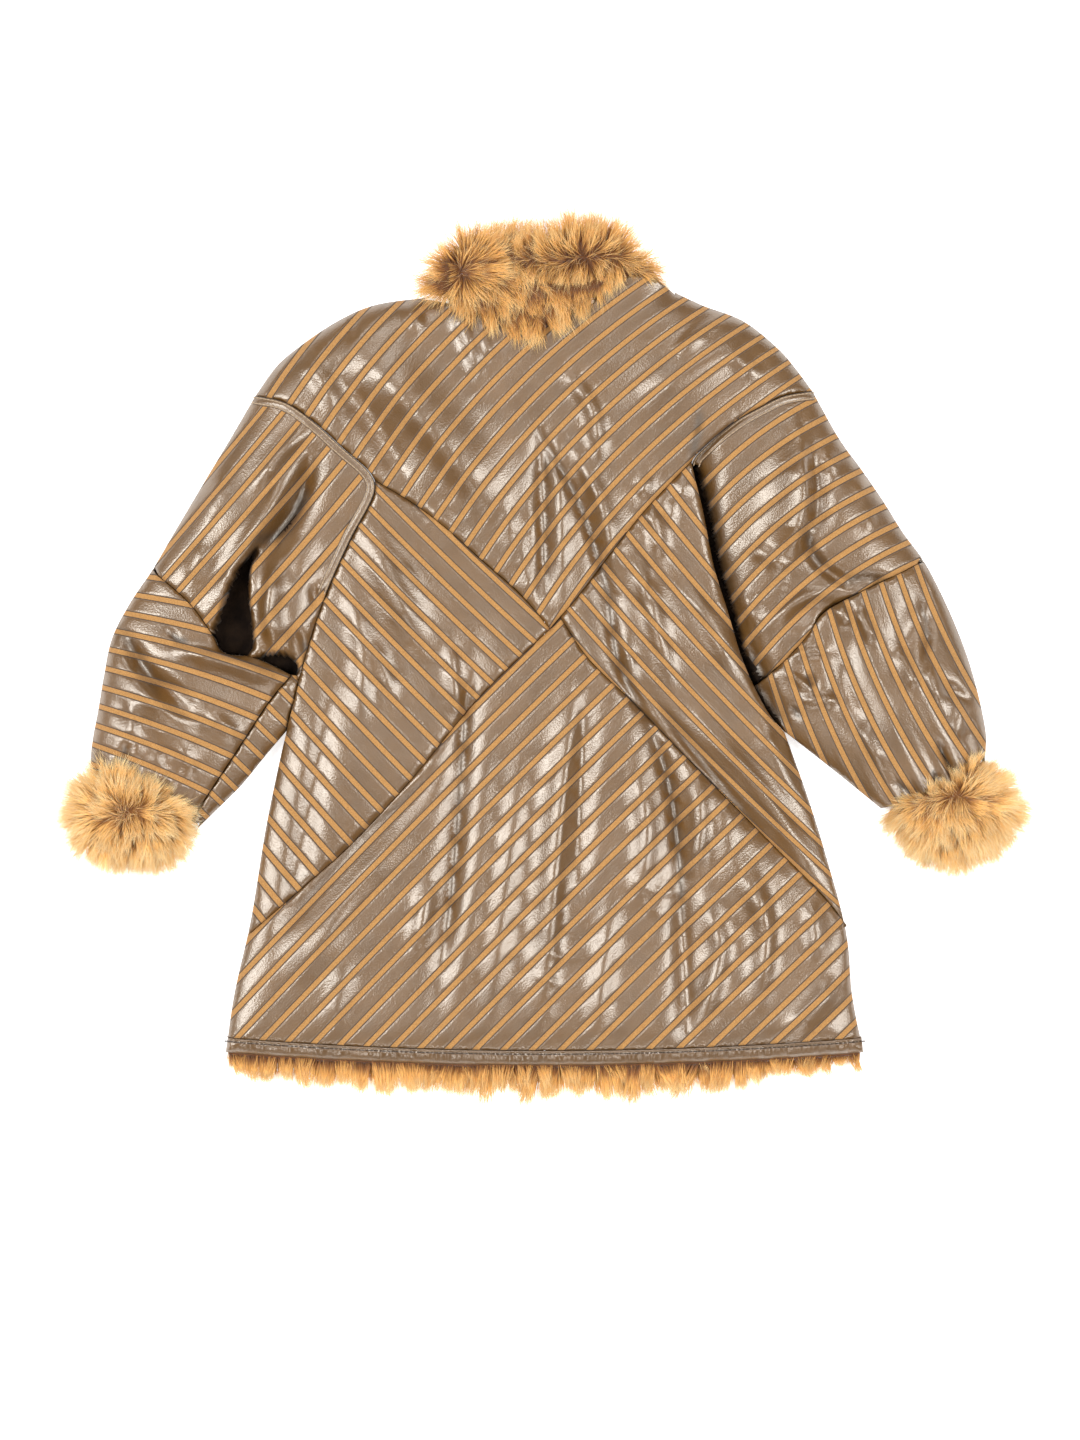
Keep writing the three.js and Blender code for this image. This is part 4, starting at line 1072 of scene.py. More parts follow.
# %% Sleeves
sleeve_outlines = {
    "sleeve_left_upper": joined(
        above(SLEEVE_LEFT_OUTER, 97), ELBOW_SEAM_LEFT[ELBOW_SEAM_LEFT[:, 0] > -420],
        above(ARMHOLE_LEFT, -30)[::-1]),
    "sleeve_left_lower": joined(
        above(below(SLEEVE_LEFT_OUTER, 95), -119), between(CUFF_SEAM_LEFT, -490, -384),
        above(below(UNDER_SEAM_LEFT, -21), -176)[::-1], between(ELBOW_SEAM_LEFT, -420, -273)[::-1]),
    "sleeve_right_upper": joined(
        above(SLEEVE_RIGHT_OUTER, 107), between(ELBOW_SEAM_RIGHT, 227, 404),
        above(ARMHOLE_RIGHT, -32)[::-1]),
    "sleeve_right_lower": joined(
        above(below(SLEEVE_RIGHT_OUTER, 104), -106), between(CUFF_SEAM_RIGHT, 366, 476)[::-1],
        above(SLEEVE_RIGHT_INNER, -165)[::-1], below(ARMHOLE_RIGHT, -34)[::-1],
        between(ELBOW_SEAM_RIGHT, 227, 404)[::-1]),
}
SLEEVE_OUTER = [SLEEVE_LEFT_OUTER, SLEEVE_RIGHT_OUTER, SLEEVE_RIGHT_INNER, SLEEVE_LEFT_INNER]
SLEEVE_SEAMS = ARMHOLES + [ELBOW_SEAM_LEFT, ELBOW_SEAM_RIGHT, UNDER_SEAM_LEFT]
for name, outline in sleeve_outlines.items():
    part = "_".join(name.split("_")[:0:-1])
    beside = LEVELS["upper_left"] if part == "lower_left" else None
    shells[name], areas[name] = shell(
        name, outline, LEVELS[part], name, SLEEVE_SEAMS, SLEEVE_OUTER, beside=beside, part=part)


def strip_level(xy):
    """The left under sleeve's strip lies a little lower than the sleeve's upper side."""
    return LEVELS["lower_left"](xy) - 3


def underside(edges):
    """The level of cloth that lies on the floor and curls up at its edges."""
    def level(xy):
        return 6 * (1 - rounded_rise(distance(edges, xy) / 10))
    return level


under_left = joined(
    SLEEVE_LEFT_OUTER, between(CUFF_SEAM_LEFT, -490, -374), SLEEVE_LEFT_INNER[::-1][5:],
    ARMHOLE_LEFT[::-1])
under_right = joined(
    SLEEVE_RIGHT_OUTER, between(CUFF_SEAM_RIGHT, 366, 476)[::-1], above(SLEEVE_RIGHT_INNER, -165)[::-1],
    ARMHOLE_RIGHT[::-1])
wrapped_strip = joined(
    above(below(UNDER_SEAM_LEFT, -18), -178), [(-376, -181)], above(SLEEVE_LEFT_INNER, -178)[::-1],
    below(ARMHOLE_LEFT, -20)[::-1])


def merge(name, parts):
    """Several meshes as one object."""
    for part in parts:
        part.select_set(True)
    bpy.context.view_layer.objects.active = parts[0]
    bpy.ops.object.join()
    parts[0].name = name
    parts[0].data.name = name
    bpy.ops.object.select_all(action="DESELECT")
    return parts[0]


bpy.ops.object.select_all(action="DESELECT")
under_slab, area_slab = shell(
    "under_slab", under_left, underside(SLEEVE_EDGES), "sleeve_left_under", [], SLEEVE_OUTER,
    LOWER_RIM, -1, HIDDEN_LINES)
under_strip, area_strip = shell(
    "under_strip", wrapped_strip, strip_level, "sleeve_left_under", SLEEVE_SEAMS, SLEEVE_OUTER)
shells["sleeve_left_under"] = merge("sleeve_left_under_leather", [under_slab, under_strip])
areas["sleeve_left_under"] = area_slab + area_strip
shells["sleeve_right_under"], areas["sleeve_right_under"] = shell(
    "sleeve_right_under", under_right, underside(SLEEVE_EDGES), "sleeve_right_under", [], SLEEVE_OUTER,
    LOWER_RIM, -1, HIDDEN_LINES)

# %% [markdown]
# ## Fronts
#
# The two fronts lie below the back and meet edge to edge. They are hidden, so they are cut plainly,
# with the strips slanting the other way on each.

# %% Fronts
front_outlines = {
    "front_left": joined(
        [(0, 350), (0, -424)], (BAND_LINE + (0, GAP))[hem_x < -1][::-1], above(SIDE_LEFT, -411),
        ARMHOLE_LEFT[::-1], SHOULDER_LEFT, NECK_EDGE[COLLAR_LOWER[:, 0] < -2]),
    "front_right": joined(
        [(0, -424), (0, 350)], NECK_EDGE[COLLAR_LOWER[:, 0] > 2], SHOULDER_RIGHT[::-1],
        ARMHOLE_RIGHT, above(SIDE_RIGHT, -411)[::-1], (BAND_LINE + (0, GAP))[hem_x > 1][::-1]),
}
for name, outline in front_outlines.items():
    shells[name], areas[name] = shell(
        name, outline, underside(BODY_EDGES), name, [], OUTER + ARMHOLES, LOWER_RIM, -1, HIDDEN_LINES)

# %% [markdown]
# ## Bands of plain leather
#
# A band is a ribbon: lines side by side along an edge, with a small crown across it. One helper makes
# all of them. The band at the hem is puckered by its one row of stitches. The band at each armhole lies
# on the sleeve and has a row near each edge.

# %% Ribbons
def shifted(line, away):
    """The line moved sideways, to its left where away is above zero."""
    ahead = np.gradient(line, axis=0)
    ahead /= np.hypot(*ahead.T)[:, None]
    return line + away * np.stack([-ahead[:, 1], ahead[:, 0]], axis=1)


def ribbon(name, lines, level, crown, rows, rim_level=None, facing=1):
    """A closed thin band over lines side by side. crown is each line's rise, rows how dark it is:
    darker at the band's edges, with painted shade in the grooves of its stitch rows.
    """
    count, width = len(lines[0]), len(lines)
    xy = np.vstack(lines)
    rise = np.repeat(crown, count)
    shown = level(xy) + facing * rise
    hidden = shown - facing * CLOTH_THICKNESS
    if rim_level is not None:
        hidden[:count] = rim_level
    points = np.vstack([np.column_stack([xy, shown]), np.column_stack([xy, hidden])])
    n = len(xy)
    faces = []
    for i in range(width - 1):
        for j in range(count - 1):
            quad = [i * count + j, i * count + j + 1, (i + 1) * count + j + 1, (i + 1) * count + j]
            faces += [quad, [k + n for k in quad[::-1]]]
    ring = list(range(count)) + [i * count + count - 1 for i in range(1, width)]
    ring += list(range(width * count - 2, (width - 1) * count - 1, -1))
    ring += [i * count for i in range(width - 2, 0, -1)]
    for a, b in zip(ring, ring[1:] + ring[:1]):
        faces.append([b, a, a + n, b + n])
    if facing < 0:
        faces = [face[::-1] for face in faces]
    obj = mesh_object(name + "_leather", points, faces, [nappa_plain])
    dark = np.tile(np.repeat(rows, count), 2)
    obj.data.attributes.new("row", "FLOAT", "POINT").data.foreach_set("value", dark)
    return obj


def hem_level(level, facing=1):
    """The level of a hem band: puckered, with a dent along its row of stitches."""
    def band(xy):
        pucker = uneven(np.stack([xy[:, 0], xy[:, 1] * 0.2], axis=1), 5.5, 2.5)
        pucker += 0.6 * uneven(np.stack([xy[:, 0], xy[:, 1] * 0.2], axis=1), 2.8, 7.5)
        from_top = (hem_at(xy[:, 0]) + HEM_BAND - xy[:, 1])
        drawn = np.exp(-((from_top - 6) / 9) ** 2)
        row = -1.1 * np.exp(-((from_top - 2.6) / 1.0) ** 2)
        return np.maximum(0, level(xy) + facing * (2.4 * pucker * drawn + row))
    return band


HEM_STEPS = [0, 0.7, 2, 4, 6.5, 9, 11, 12.4, 13.4, 14.4, 15.3, 16]
HEM_CROWN = [-1.2, -0.3, 0.5, 0.9, 1.1, 1.1, 1.0, 0.9, 0.8, 0.8, 0.4, -0.8]
# How dark each line of the hem band is: darker at its edges, with painted shade in the groove of its
# stitch row.
HEM_EDGES_AND_SHADE = [0.5, 0.05, 0, 0, 0, 0, 0, 0, 0.1, 0, 0.05, 0.8]
SIDE_SLANT = 2400  # the band narrows by 1 mm in so many, as the coat's sides slant
fine_x = np.linspace(-HEM_HALF, HEM_HALF, 420)
fine_hem = np.stack([fine_x, hem_at(fine_x)], axis=1)


def hem_lines(hem):
    """Lines side by side from the hem's edge to the band's top."""
    return [hem * (1 - step / SIDE_SLANT, 1) + (0, step) for step in HEM_STEPS]


bands = {}
bands["hem_band_back"] = ribbon(
    "hem_band_back", hem_lines(fine_hem), hem_level(body_level), HEM_CROWN, HEM_EDGES_AND_SHADE, UPPER_RIM)
for name, part in (("hem_band_front_left", fine_x < -0.5), ("hem_band_front_right", fine_x > 0.5)):
    bands[name] = ribbon(
        name, hem_lines(fine_hem[part]), hem_level(underside(BODY_EDGES), -1), HEM_CROWN, HEM_EDGES_AND_SHADE,
        LOWER_RIM, -1)


def sleeve_band_level(line, sleeve_level, width=10):
    """A band's level: it leaves the body at the armhole and comes to lie on the sleeve."""
    def level(xy):
        share = np.minimum(1, nearest(line, xy)[0] / width)
        return body_level(xy) * (1 - share) + sleeve_level(xy) * share + 1.2
    return level


ARM_STEPS = [0.3, 1.0, 2.0, 3.2, 5, 6.8, 8, 9, 9.8]
ARM_CROWN = [-1.4, 0.1, -0.2, 0.4, 0.5, 0.4, -0.2, 0.1, -1.4]
# How dark each line of an armhole band is: darker at its edges, with painted shade in the grooves of its
# stitch rows.
ARM_EDGES_AND_SHADE = [1, 0.3, 0.35, 0.05, 0, 0.05, 0.35, 0.2, 0.9]
band_left = above(ARMHOLE_LEFT, 66)
band_right = above(ARMHOLE_RIGHT, 207)
bands["armhole_band_left"] = ribbon(
    "armhole_band_left", [shifted(band_left, -s) for s in ARM_STEPS[::-1]],
    sleeve_band_level(band_left, LEVELS["upper_left"]), ARM_CROWN[::-1], ARM_EDGES_AND_SHADE[::-1])
bands["armhole_band_right"] = ribbon(
    "armhole_band_right", [shifted(band_right, s) for s in ARM_STEPS],
    sleeve_band_level(band_right, LEVELS["upper_right"]), ARM_CROWN, ARM_EDGES_AND_SHADE)
print("Bands:", list(bands))

# %% [markdown]
# ## Stitches
#
# Geometry Nodes place one small stitch again and again along a curve. The row's pitch and the stitch's
# size are named inputs, so the same tree serves every row.

# %% Node tree helpers
def new_tree(name, inputs):
    """A Geometry Nodes tree with a mesh in and out, and named inputs."""
    tree = bpy.data.node_groups.new(name, "GeometryNodeTree")
    tree.is_modifier = True
    tree.interface.new_socket("Geometry", in_out="INPUT", socket_type="NodeSocketGeometry")
    tree.interface.new_socket("Geometry", in_out="OUTPUT", socket_type="NodeSocketGeometry")
    for label, kind in inputs.items():
        tree.interface.new_socket(label, in_out="INPUT", socket_type="NodeSocket" + kind)
    given = tree.nodes.new("NodeGroupInput")
    return tree, given.outputs


def finish_tree(tree, geometry, material):
    """Makes the instances real, gives them their material and passes them out."""
    real = add(tree, "GeometryNodeRealizeInstances", {"Geometry": geometry})
    dressed = add(tree, "GeometryNodeSetMaterial", {"Geometry": real.outputs[0], "Material": material})
    out = tree.nodes.new("NodeGroupOutput")
    tree.links.new(dressed.outputs[0], out.inputs[0])


def grow(obj, tree, name, values):
    """The tree's result on obj as a plain mesh object. obj itself is taken away."""
    modifier = obj.modifiers.new(tree.name, "NODES")
    modifier.node_group = tree
    for item in tree.interface.items_tree:
        if item.in_out == "INPUT" and item.name in values:
            modifier[item.identifier] = values[item.name]
    graph = bpy.context.evaluated_depsgraph_get()
    mesh = bpy.data.meshes.new_from_object(obj.evaluated_get(graph))
    mesh.name = name
    bpy.data.objects.remove(obj)
    made = bpy.data.objects.new(name, mesh)
    bpy.context.scene.collection.objects.link(made)
    return made


def line_object(name, points):
    """A mesh of loose edges through the points."""
    mesh = bpy.data.meshes.new(name)
    edges = [(i, i + 1) for i in range(len(points) - 1)]
    mesh.from_pydata((points * MM).tolist(), edges, [])
    obj = bpy.data.objects.new(name, mesh)
    bpy.context.scene.collection.objects.link(obj)
    return obj


# %% Stitch tree
stitch_tree, given = new_tree("stitches", {
    "Pitch": "Float", "Length": "Float", "Thickness": "Float", "Material": "Material"})
row = add(stitch_tree, "GeometryNodeMeshToCurve", {"Mesh": given["Geometry"]})
spaced = add(stitch_tree, "GeometryNodeResampleCurve", {
    "Curve": row.outputs[0], "Length": given["Pitch"]}, mode="LENGTH")
bead = add(stitch_tree, "GeometryNodeMeshUVSphere", Segments=6, Rings=4)
size = add(stitch_tree, "ShaderNodeCombineXYZ", {
    "X": given["Thickness"], "Y": given["Thickness"], "Z": given["Length"]})
tangent = stitch_tree.nodes.new("GeometryNodeInputTangent")
turned = add(stitch_tree, "FunctionNodeAlignRotationToVector", {"Vector": tangent.outputs[0]}, axis="Z")
placed = add(stitch_tree, "GeometryNodeInstanceOnPoints", {
    "Points": spaced.outputs[0], "Instance": bead.outputs[0],
    "Rotation": turned.outputs[0], "Scale": size.outputs[0]})
finish_tree(stitch_tree, placed.outputs[0], given["Material"])


PITCH_MM, STITCH_MM, THREAD_MM = 5.0, 2.7, 0.8
BEAD_FACES = 24
HEM_ROW_MM = 12.2


def stitches(name, line, level, lift, thread):
    """A row of stitches along the line, lift above the level."""
    points = np.column_stack([line, level(line) + lift])
    values = {
        "Pitch": PITCH_MM * MM, "Length": STITCH_MM * MM, "Thickness": THREAD_MM * MM, "Material": thread,
    }
    made = grow(line_object(name, points), stitch_tree, name, values)
    print(name, "stitches:", len(made.data.polygons) // BEAD_FACES)
    return made


hem_row = fine_hem + (0, HEM_ROW_MM)
hem_stitches = stitches("stitches_hem", hem_row, hem_level(body_level), 1.0, brown_thread)
arm_stitches = {"left": [], "right": []}
for side, line, level, way in (
        ("left", band_left, LEVELS["upper_left"], -1), ("right", band_right, LEVELS["upper_right"], 1)):
    for place, step in (("inner", 2.0), ("outer", 8.0)):
        over = shifted(line, way * step)
        row_level = sleeve_band_level(line, level)
        arm_stitches[side].append(
            stitches(f"stitches_armhole_{side}_{place}", over, row_level, 0.1, pale_thread))

# %% [markdown]
# ## Hair
#
# The collar, cuffs and hem are long hair on a skin. A particle system could grow it, but its hairs are
# not a mesh. Here Geometry Nodes scatter thin curved cones over a skin. Each skin point carries a comb
# direction and a hair length, spread from a few guides that show how the hair lies. A Voronoi pattern
# pulls neighbouring tips together into locks.

# %% Skins
def mound(name, outline, top_level, bottom, guides, spacing=5.0, lift=0.3):
    """A closed skin over an outline. Guides are (x, y, dx, dy, hair length)."""
    low, high = outline.min(axis=0), outline.max(axis=0)
    xs = np.arange(low[0], high[0], spacing)
    ys = np.arange(low[1], high[1], spacing * 0.87)
    grid = np.array([(x + (k % 2) * spacing / 2, y) for k, y in enumerate(ys) for x in xs])
    near = nearest(np.vstack([outline, outline[:1]]), grid)[0]
    grid = grid[inside(outline, grid) & (near > spacing * 0.4)]
    points = np.vstack([outline, grid])
    ring = list(range(len(outline)))
    result = delaunay_2d_cdt([Vector(p) for p in points.tolist()], [], [ring], 1, 1e-5, False)
    xy, faces = trimmed(outline, result)
    n = len(xy)
    shown = np.maximum(top_level(xy), bottom + 2)
    both = np.vstack([np.column_stack([xy, shown]), np.column_stack([xy, np.full(n, bottom)])])
    walls = [(b, a, a + n, b + n) for a, b in boundary_edges(faces).tolist()]
    obj = mesh_object(name, both, faces.tolist() + (faces[:, ::-1] + n).tolist() + walls, [sheep_hair])
    comb_hair(obj, guides, lift)
    return obj


def comb_hair(obj, guides, lift):
    """Stores the comb direction and hair length on each point of a skin."""
    mesh = obj.data
    places = np.zeros(len(mesh.vertices) * 3)
    mesh.vertices.foreach_get("co", places)
    places = places.reshape(-1, 3) / MM
    normals = np.array([v.normal[:] for v in mesh.vertices])
    g = np.array(guides, float)
    away = np.hypot(places[:, None, 0] - g[None, :, 0], places[:, None, 1] - g[None, :, 1]) + 3
    weights = away ** -3
    weights /= weights.sum(axis=1)[:, None]
    flat = weights @ g[:, 2:4]
    comb = np.column_stack([flat, np.zeros(len(flat))]) * (1 - lift) + normals * lift
    comb /= np.maximum(np.linalg.norm(comb, axis=1), 1e-6)[:, None]
    length = weights @ g[:, 4] * MM
    mesh.attributes.new("comb", "FLOAT_VECTOR", "POINT").data.foreach_set("vector", comb.ravel())
    mesh.attributes.new("hair_length", "FLOAT", "POINT").data.foreach_set("value", length)


# %% Vector node helpers
def vector_math(tree, operation, *values):
    """One sum on vectors."""
    node = tree.nodes.new("ShaderNodeVectorMath")
    node.operation = operation
    for socket, value in zip([s for s in node.inputs if s.enabled], values):
        if hasattr(value, "links"):
            tree.links.new(value, socket)
        else:
            socket.default_value = value
    return node.outputs["Value"] if operation in ("LENGTH", "DOT_PRODUCT") else node.outputs["Vector"]


def named(tree, name, kind):
    """An attribute of the mesh, read by its name."""
    node = add(tree, "GeometryNodeInputNamedAttribute", data_type=kind)
    node.inputs["Name"].default_value = name
    return node.outputs[0]


def random_value(tree, kind, low, high, seed):
    """A random value between low and high for each point, the same at every run."""
    node = add(tree, "FunctionNodeRandomValue", data_type=kind)
    enabled = [s for s in node.inputs if s.enabled]
    for socket, value in zip(enabled, (low, high)):
        if hasattr(value, "links"):
            tree.links.new(value, socket)
        else:
            socket.default_value = value
    node.inputs["Seed"].default_value = seed
    return [s for s in node.outputs if s.enabled][0]


# %% [markdown]
# ## The hair tree
#
# The tree has three stretches. The first scatters the roots and works out which way each hair goes:
# along its comb, towards the middle of its lock, turned a little with its lock, and astray by chance.
# The second makes one hair, a thin cone that droops. The third sets that hair on every root, keeps all
# of it above the floor and below the height of the real pile, and gives it its material.

# %% Roots and directions of the hair
FACING_DOWN = -0.35
HAIR_LOWEST, HAIR_HIGHEST = 0.6 * MM, 93 * MM
# The skin under the hair takes the dark colour of the roots: painted shade beneath the pile.
PAINTED_SHADE_ON_SKIN = 0.08

hair_tree, given = new_tree("hair", {
    "Density": "Float", "Seed": "Int", "Lock Size": "Float", "Lock Pull": "Float", "Lock Turn": "Float",
    "Stray": "Float", "Thickness": "Float", "Droop": "Float", "Material": "Material"})
facing = add(hair_tree, "ShaderNodeSeparateXYZ", {
    "Vector": hair_tree.nodes.new("GeometryNodeInputNormal").outputs[0]}).outputs["Z"]
shows = math_node(hair_tree, "GREATER_THAN", facing, FACING_DOWN)
density = math_node(hair_tree, "MULTIPLY", given["Density"], shows)
roots = add(hair_tree, "GeometryNodeDistributePointsOnFaces", {
    "Mesh": given["Geometry"], "Density": density, "Seed": given["Seed"]})
comb = named(hair_tree, "comb", "FLOAT_VECTOR")
hair_length = named(hair_tree, "hair_length", "FLOAT")
place = hair_tree.nodes.new("GeometryNodeInputPosition").outputs[0]
lock_scale = math_node(hair_tree, "DIVIDE", 1.0, given["Lock Size"])
cells = add(hair_tree, "ShaderNodeTexVoronoi", {"Vector": place, "Scale": lock_scale})
to_lock = vector_math(hair_tree, "SUBTRACT", cells.outputs["Position"], place)
pull = vector_math(hair_tree, "SCALE", to_lock)
hair_tree.links.new(given["Lock Pull"], pull.node.inputs["Scale"])
straight = vector_math(hair_tree, "SCALE", comb)
hair_tree.links.new(hair_length, straight.node.inputs["Scale"])
lock_turn = vector_math(hair_tree, "SUBTRACT", cells.outputs["Color"], (0.5, 0.5, 0.5))
lock_turn = vector_math(hair_tree, "SCALE", lock_turn)
lock_reach = math_node(hair_tree, "MULTIPLY", hair_length, given["Lock Turn"])
hair_tree.links.new(lock_reach, lock_turn.node.inputs["Scale"])
stray = random_value(hair_tree, "FLOAT_VECTOR", (-1, -1, -1), (1, 1, 1), 7)
stray = vector_math(hair_tree, "SCALE", stray)
stray_size = math_node(hair_tree, "MULTIPLY", given["Stray"], hair_length)
hair_tree.links.new(stray_size, stray.node.inputs["Scale"])
way = vector_math(hair_tree, "ADD", straight, pull)
way = vector_math(hair_tree, "ADD", way, vector_math(hair_tree, "MULTIPLY", lock_turn, (1, 1, 0.6)))
way = vector_math(hair_tree, "ADD", way, stray)
real_length = vector_math(hair_tree, "LENGTH", way)

# %% One hair
hair = add(hair_tree, "GeometryNodeMeshCone", Vertices=3, Side_Segments=2)
hair.inputs["Radius Top"].default_value = 0
hair.inputs["Depth"].default_value = 1
hair_tree.links.new(given["Thickness"], hair.inputs["Radius Bottom"])
up = add(hair_tree, "ShaderNodeSeparateXYZ", {"Vector": place}).outputs["Z"]
curl = math_node(hair_tree, "MULTIPLY", math_node(hair_tree, "MULTIPLY", up, up), given["Droop"])
bent = add(hair_tree, "GeometryNodeSetPosition", {
    "Geometry": hair.outputs["Mesh"],
    "Offset": add(hair_tree, "ShaderNodeCombineXYZ", {"X": curl}).outputs[0]})
marked = add(hair_tree, "GeometryNodeStoreNamedAttribute", {"Geometry": bent.outputs[0], "Value": up},
             data_type="FLOAT", domain="POINT")
marked.inputs["Name"].default_value = "along"

# %% Hair on every root
aim = add(hair_tree, "FunctionNodeAlignRotationToVector", {"Vector": way}, axis="Z")
down = random_value(hair_tree, "FLOAT_VECTOR", (-0.7, -0.7, -1.2), (0.7, 0.7, -0.2), 11)
spun = add(hair_tree, "FunctionNodeAlignRotationToVector", {"Rotation": aim.outputs[0], "Vector": down},
           axis="X", pivot_axis="Z")
part = random_value(hair_tree, "FLOAT", 0.62, 1.08, 3)
scale = math_node(hair_tree, "MULTIPLY", real_length, part)
tint = random_value(hair_tree, "FLOAT", 0.0, 1.0, 5)
lock_tint = add(hair_tree, "ShaderNodeSeparateXYZ", {"Vector": cells.outputs["Color"]}).outputs["X"]
tint = math_node(hair_tree, "ADD", math_node(hair_tree, "MULTIPLY", tint, 0.5),
                 math_node(hair_tree, "MULTIPLY", lock_tint, 0.5))
shaded = add(hair_tree, "GeometryNodeStoreNamedAttribute", {
    "Geometry": roots.outputs["Points"], "Value": tint}, data_type="FLOAT", domain="POINT")
shaded.inputs["Name"].default_value = "shade"
grown = add(hair_tree, "GeometryNodeInstanceOnPoints", {
    "Points": shaded.outputs[0], "Instance": marked.outputs[0],
    "Rotation": spun.outputs[0], "Scale": scale})
skin = add(hair_tree, "GeometryNodeStoreNamedAttribute", {"Geometry": given["Geometry"]},
           data_type="FLOAT", domain="POINT")
skin.inputs["Name"].default_value = "along"
skin.inputs["Value"].default_value = PAINTED_SHADE_ON_SKIN
both = add(hair_tree, "GeometryNodeJoinGeometry")
hair_tree.links.new(skin.outputs[0], both.inputs[0])
hair_tree.links.new(grown.outputs[0], both.inputs[0])
real = add(hair_tree, "GeometryNodeRealizeInstances", {"Geometry": both.outputs[0]})
spot = hair_tree.nodes.new("GeometryNodeInputPosition").outputs[0]
parts = add(hair_tree, "ShaderNodeSeparateXYZ", {"Vector": spot}).outputs
over_floor = math_node(hair_tree, "MAXIMUM", parts["Z"], HAIR_LOWEST)
in_pile = math_node(hair_tree, "MINIMUM", over_floor, HAIR_HIGHEST)
raised = add(hair_tree, "ShaderNodeCombineXYZ", {"X": parts["X"], "Y": parts["Y"], "Z": in_pile})
laid = add(hair_tree, "GeometryNodeSetPosition", {
    "Geometry": real.outputs[0], "Position": raised.outputs[0]})
finish_tree(hair_tree, laid.outputs[0], given["Material"])


def furry(name, skin, hairs, seed, lock, pull, turn, thickness=0.017, droop=0.4, coat=sheep_hair):
    """Grows about that many hairs on a skin. lock is the size of a lock in mm."""
    area = sum(p.area for p in skin.data.polygons if p.normal.z > FACING_DOWN)
    values = {
        "Density": hairs / area, "Seed": seed, "Lock Size": lock * MM, "Lock Pull": pull,
        "Lock Turn": turn, "Stray": 0.1, "Thickness": thickness, "Droop": droop, "Material": coat,
    }
    made = grow(skin, hair_tree, name, values)
    triangles = sum(len(p.vertices) - 2 for p in made.data.polygons)
    print(name, "triangles:", triangles, "from", round(made.bound_box[0][2] / MM), "to",
          round(made.bound_box[6][2] / MM), "mm high")
    return made


# %% [markdown]
# ## Collar
#
# The collar stands up and folds over. Above the fold the hair stands away from the neck. Below it the
# hair hangs over the yoke, and at the left a roll of it lies to the side.

# %% Collar
COLLAR_FOLDS = [  # points, width, rise
    ((-36, 411), (30, 408), (94, 414), 7, -10),
    ((-92, 452), (-96, 425), (-106, 396), 8, -14),
    ((-68, 448), (-47, 432), (-34, 414), 7, -13),
]


def collar_top(xy):
    """The level of the hair's tips: rounded at both edges, with the folds pressed in."""
    from_outer = 48 * rounded_rise(distance([COLLAR_OUTER], xy) / 52)
    from_lower = 46 + 16 * rounded_rise(distance([COLLAR_LOWER], xy) / 26)
    folded = fold_at(COLLAR_FOLDS, xy) * np.minimum(1, 2 * from_outer / 48)
    return np.minimum(20 + from_outer, from_lower) + folded


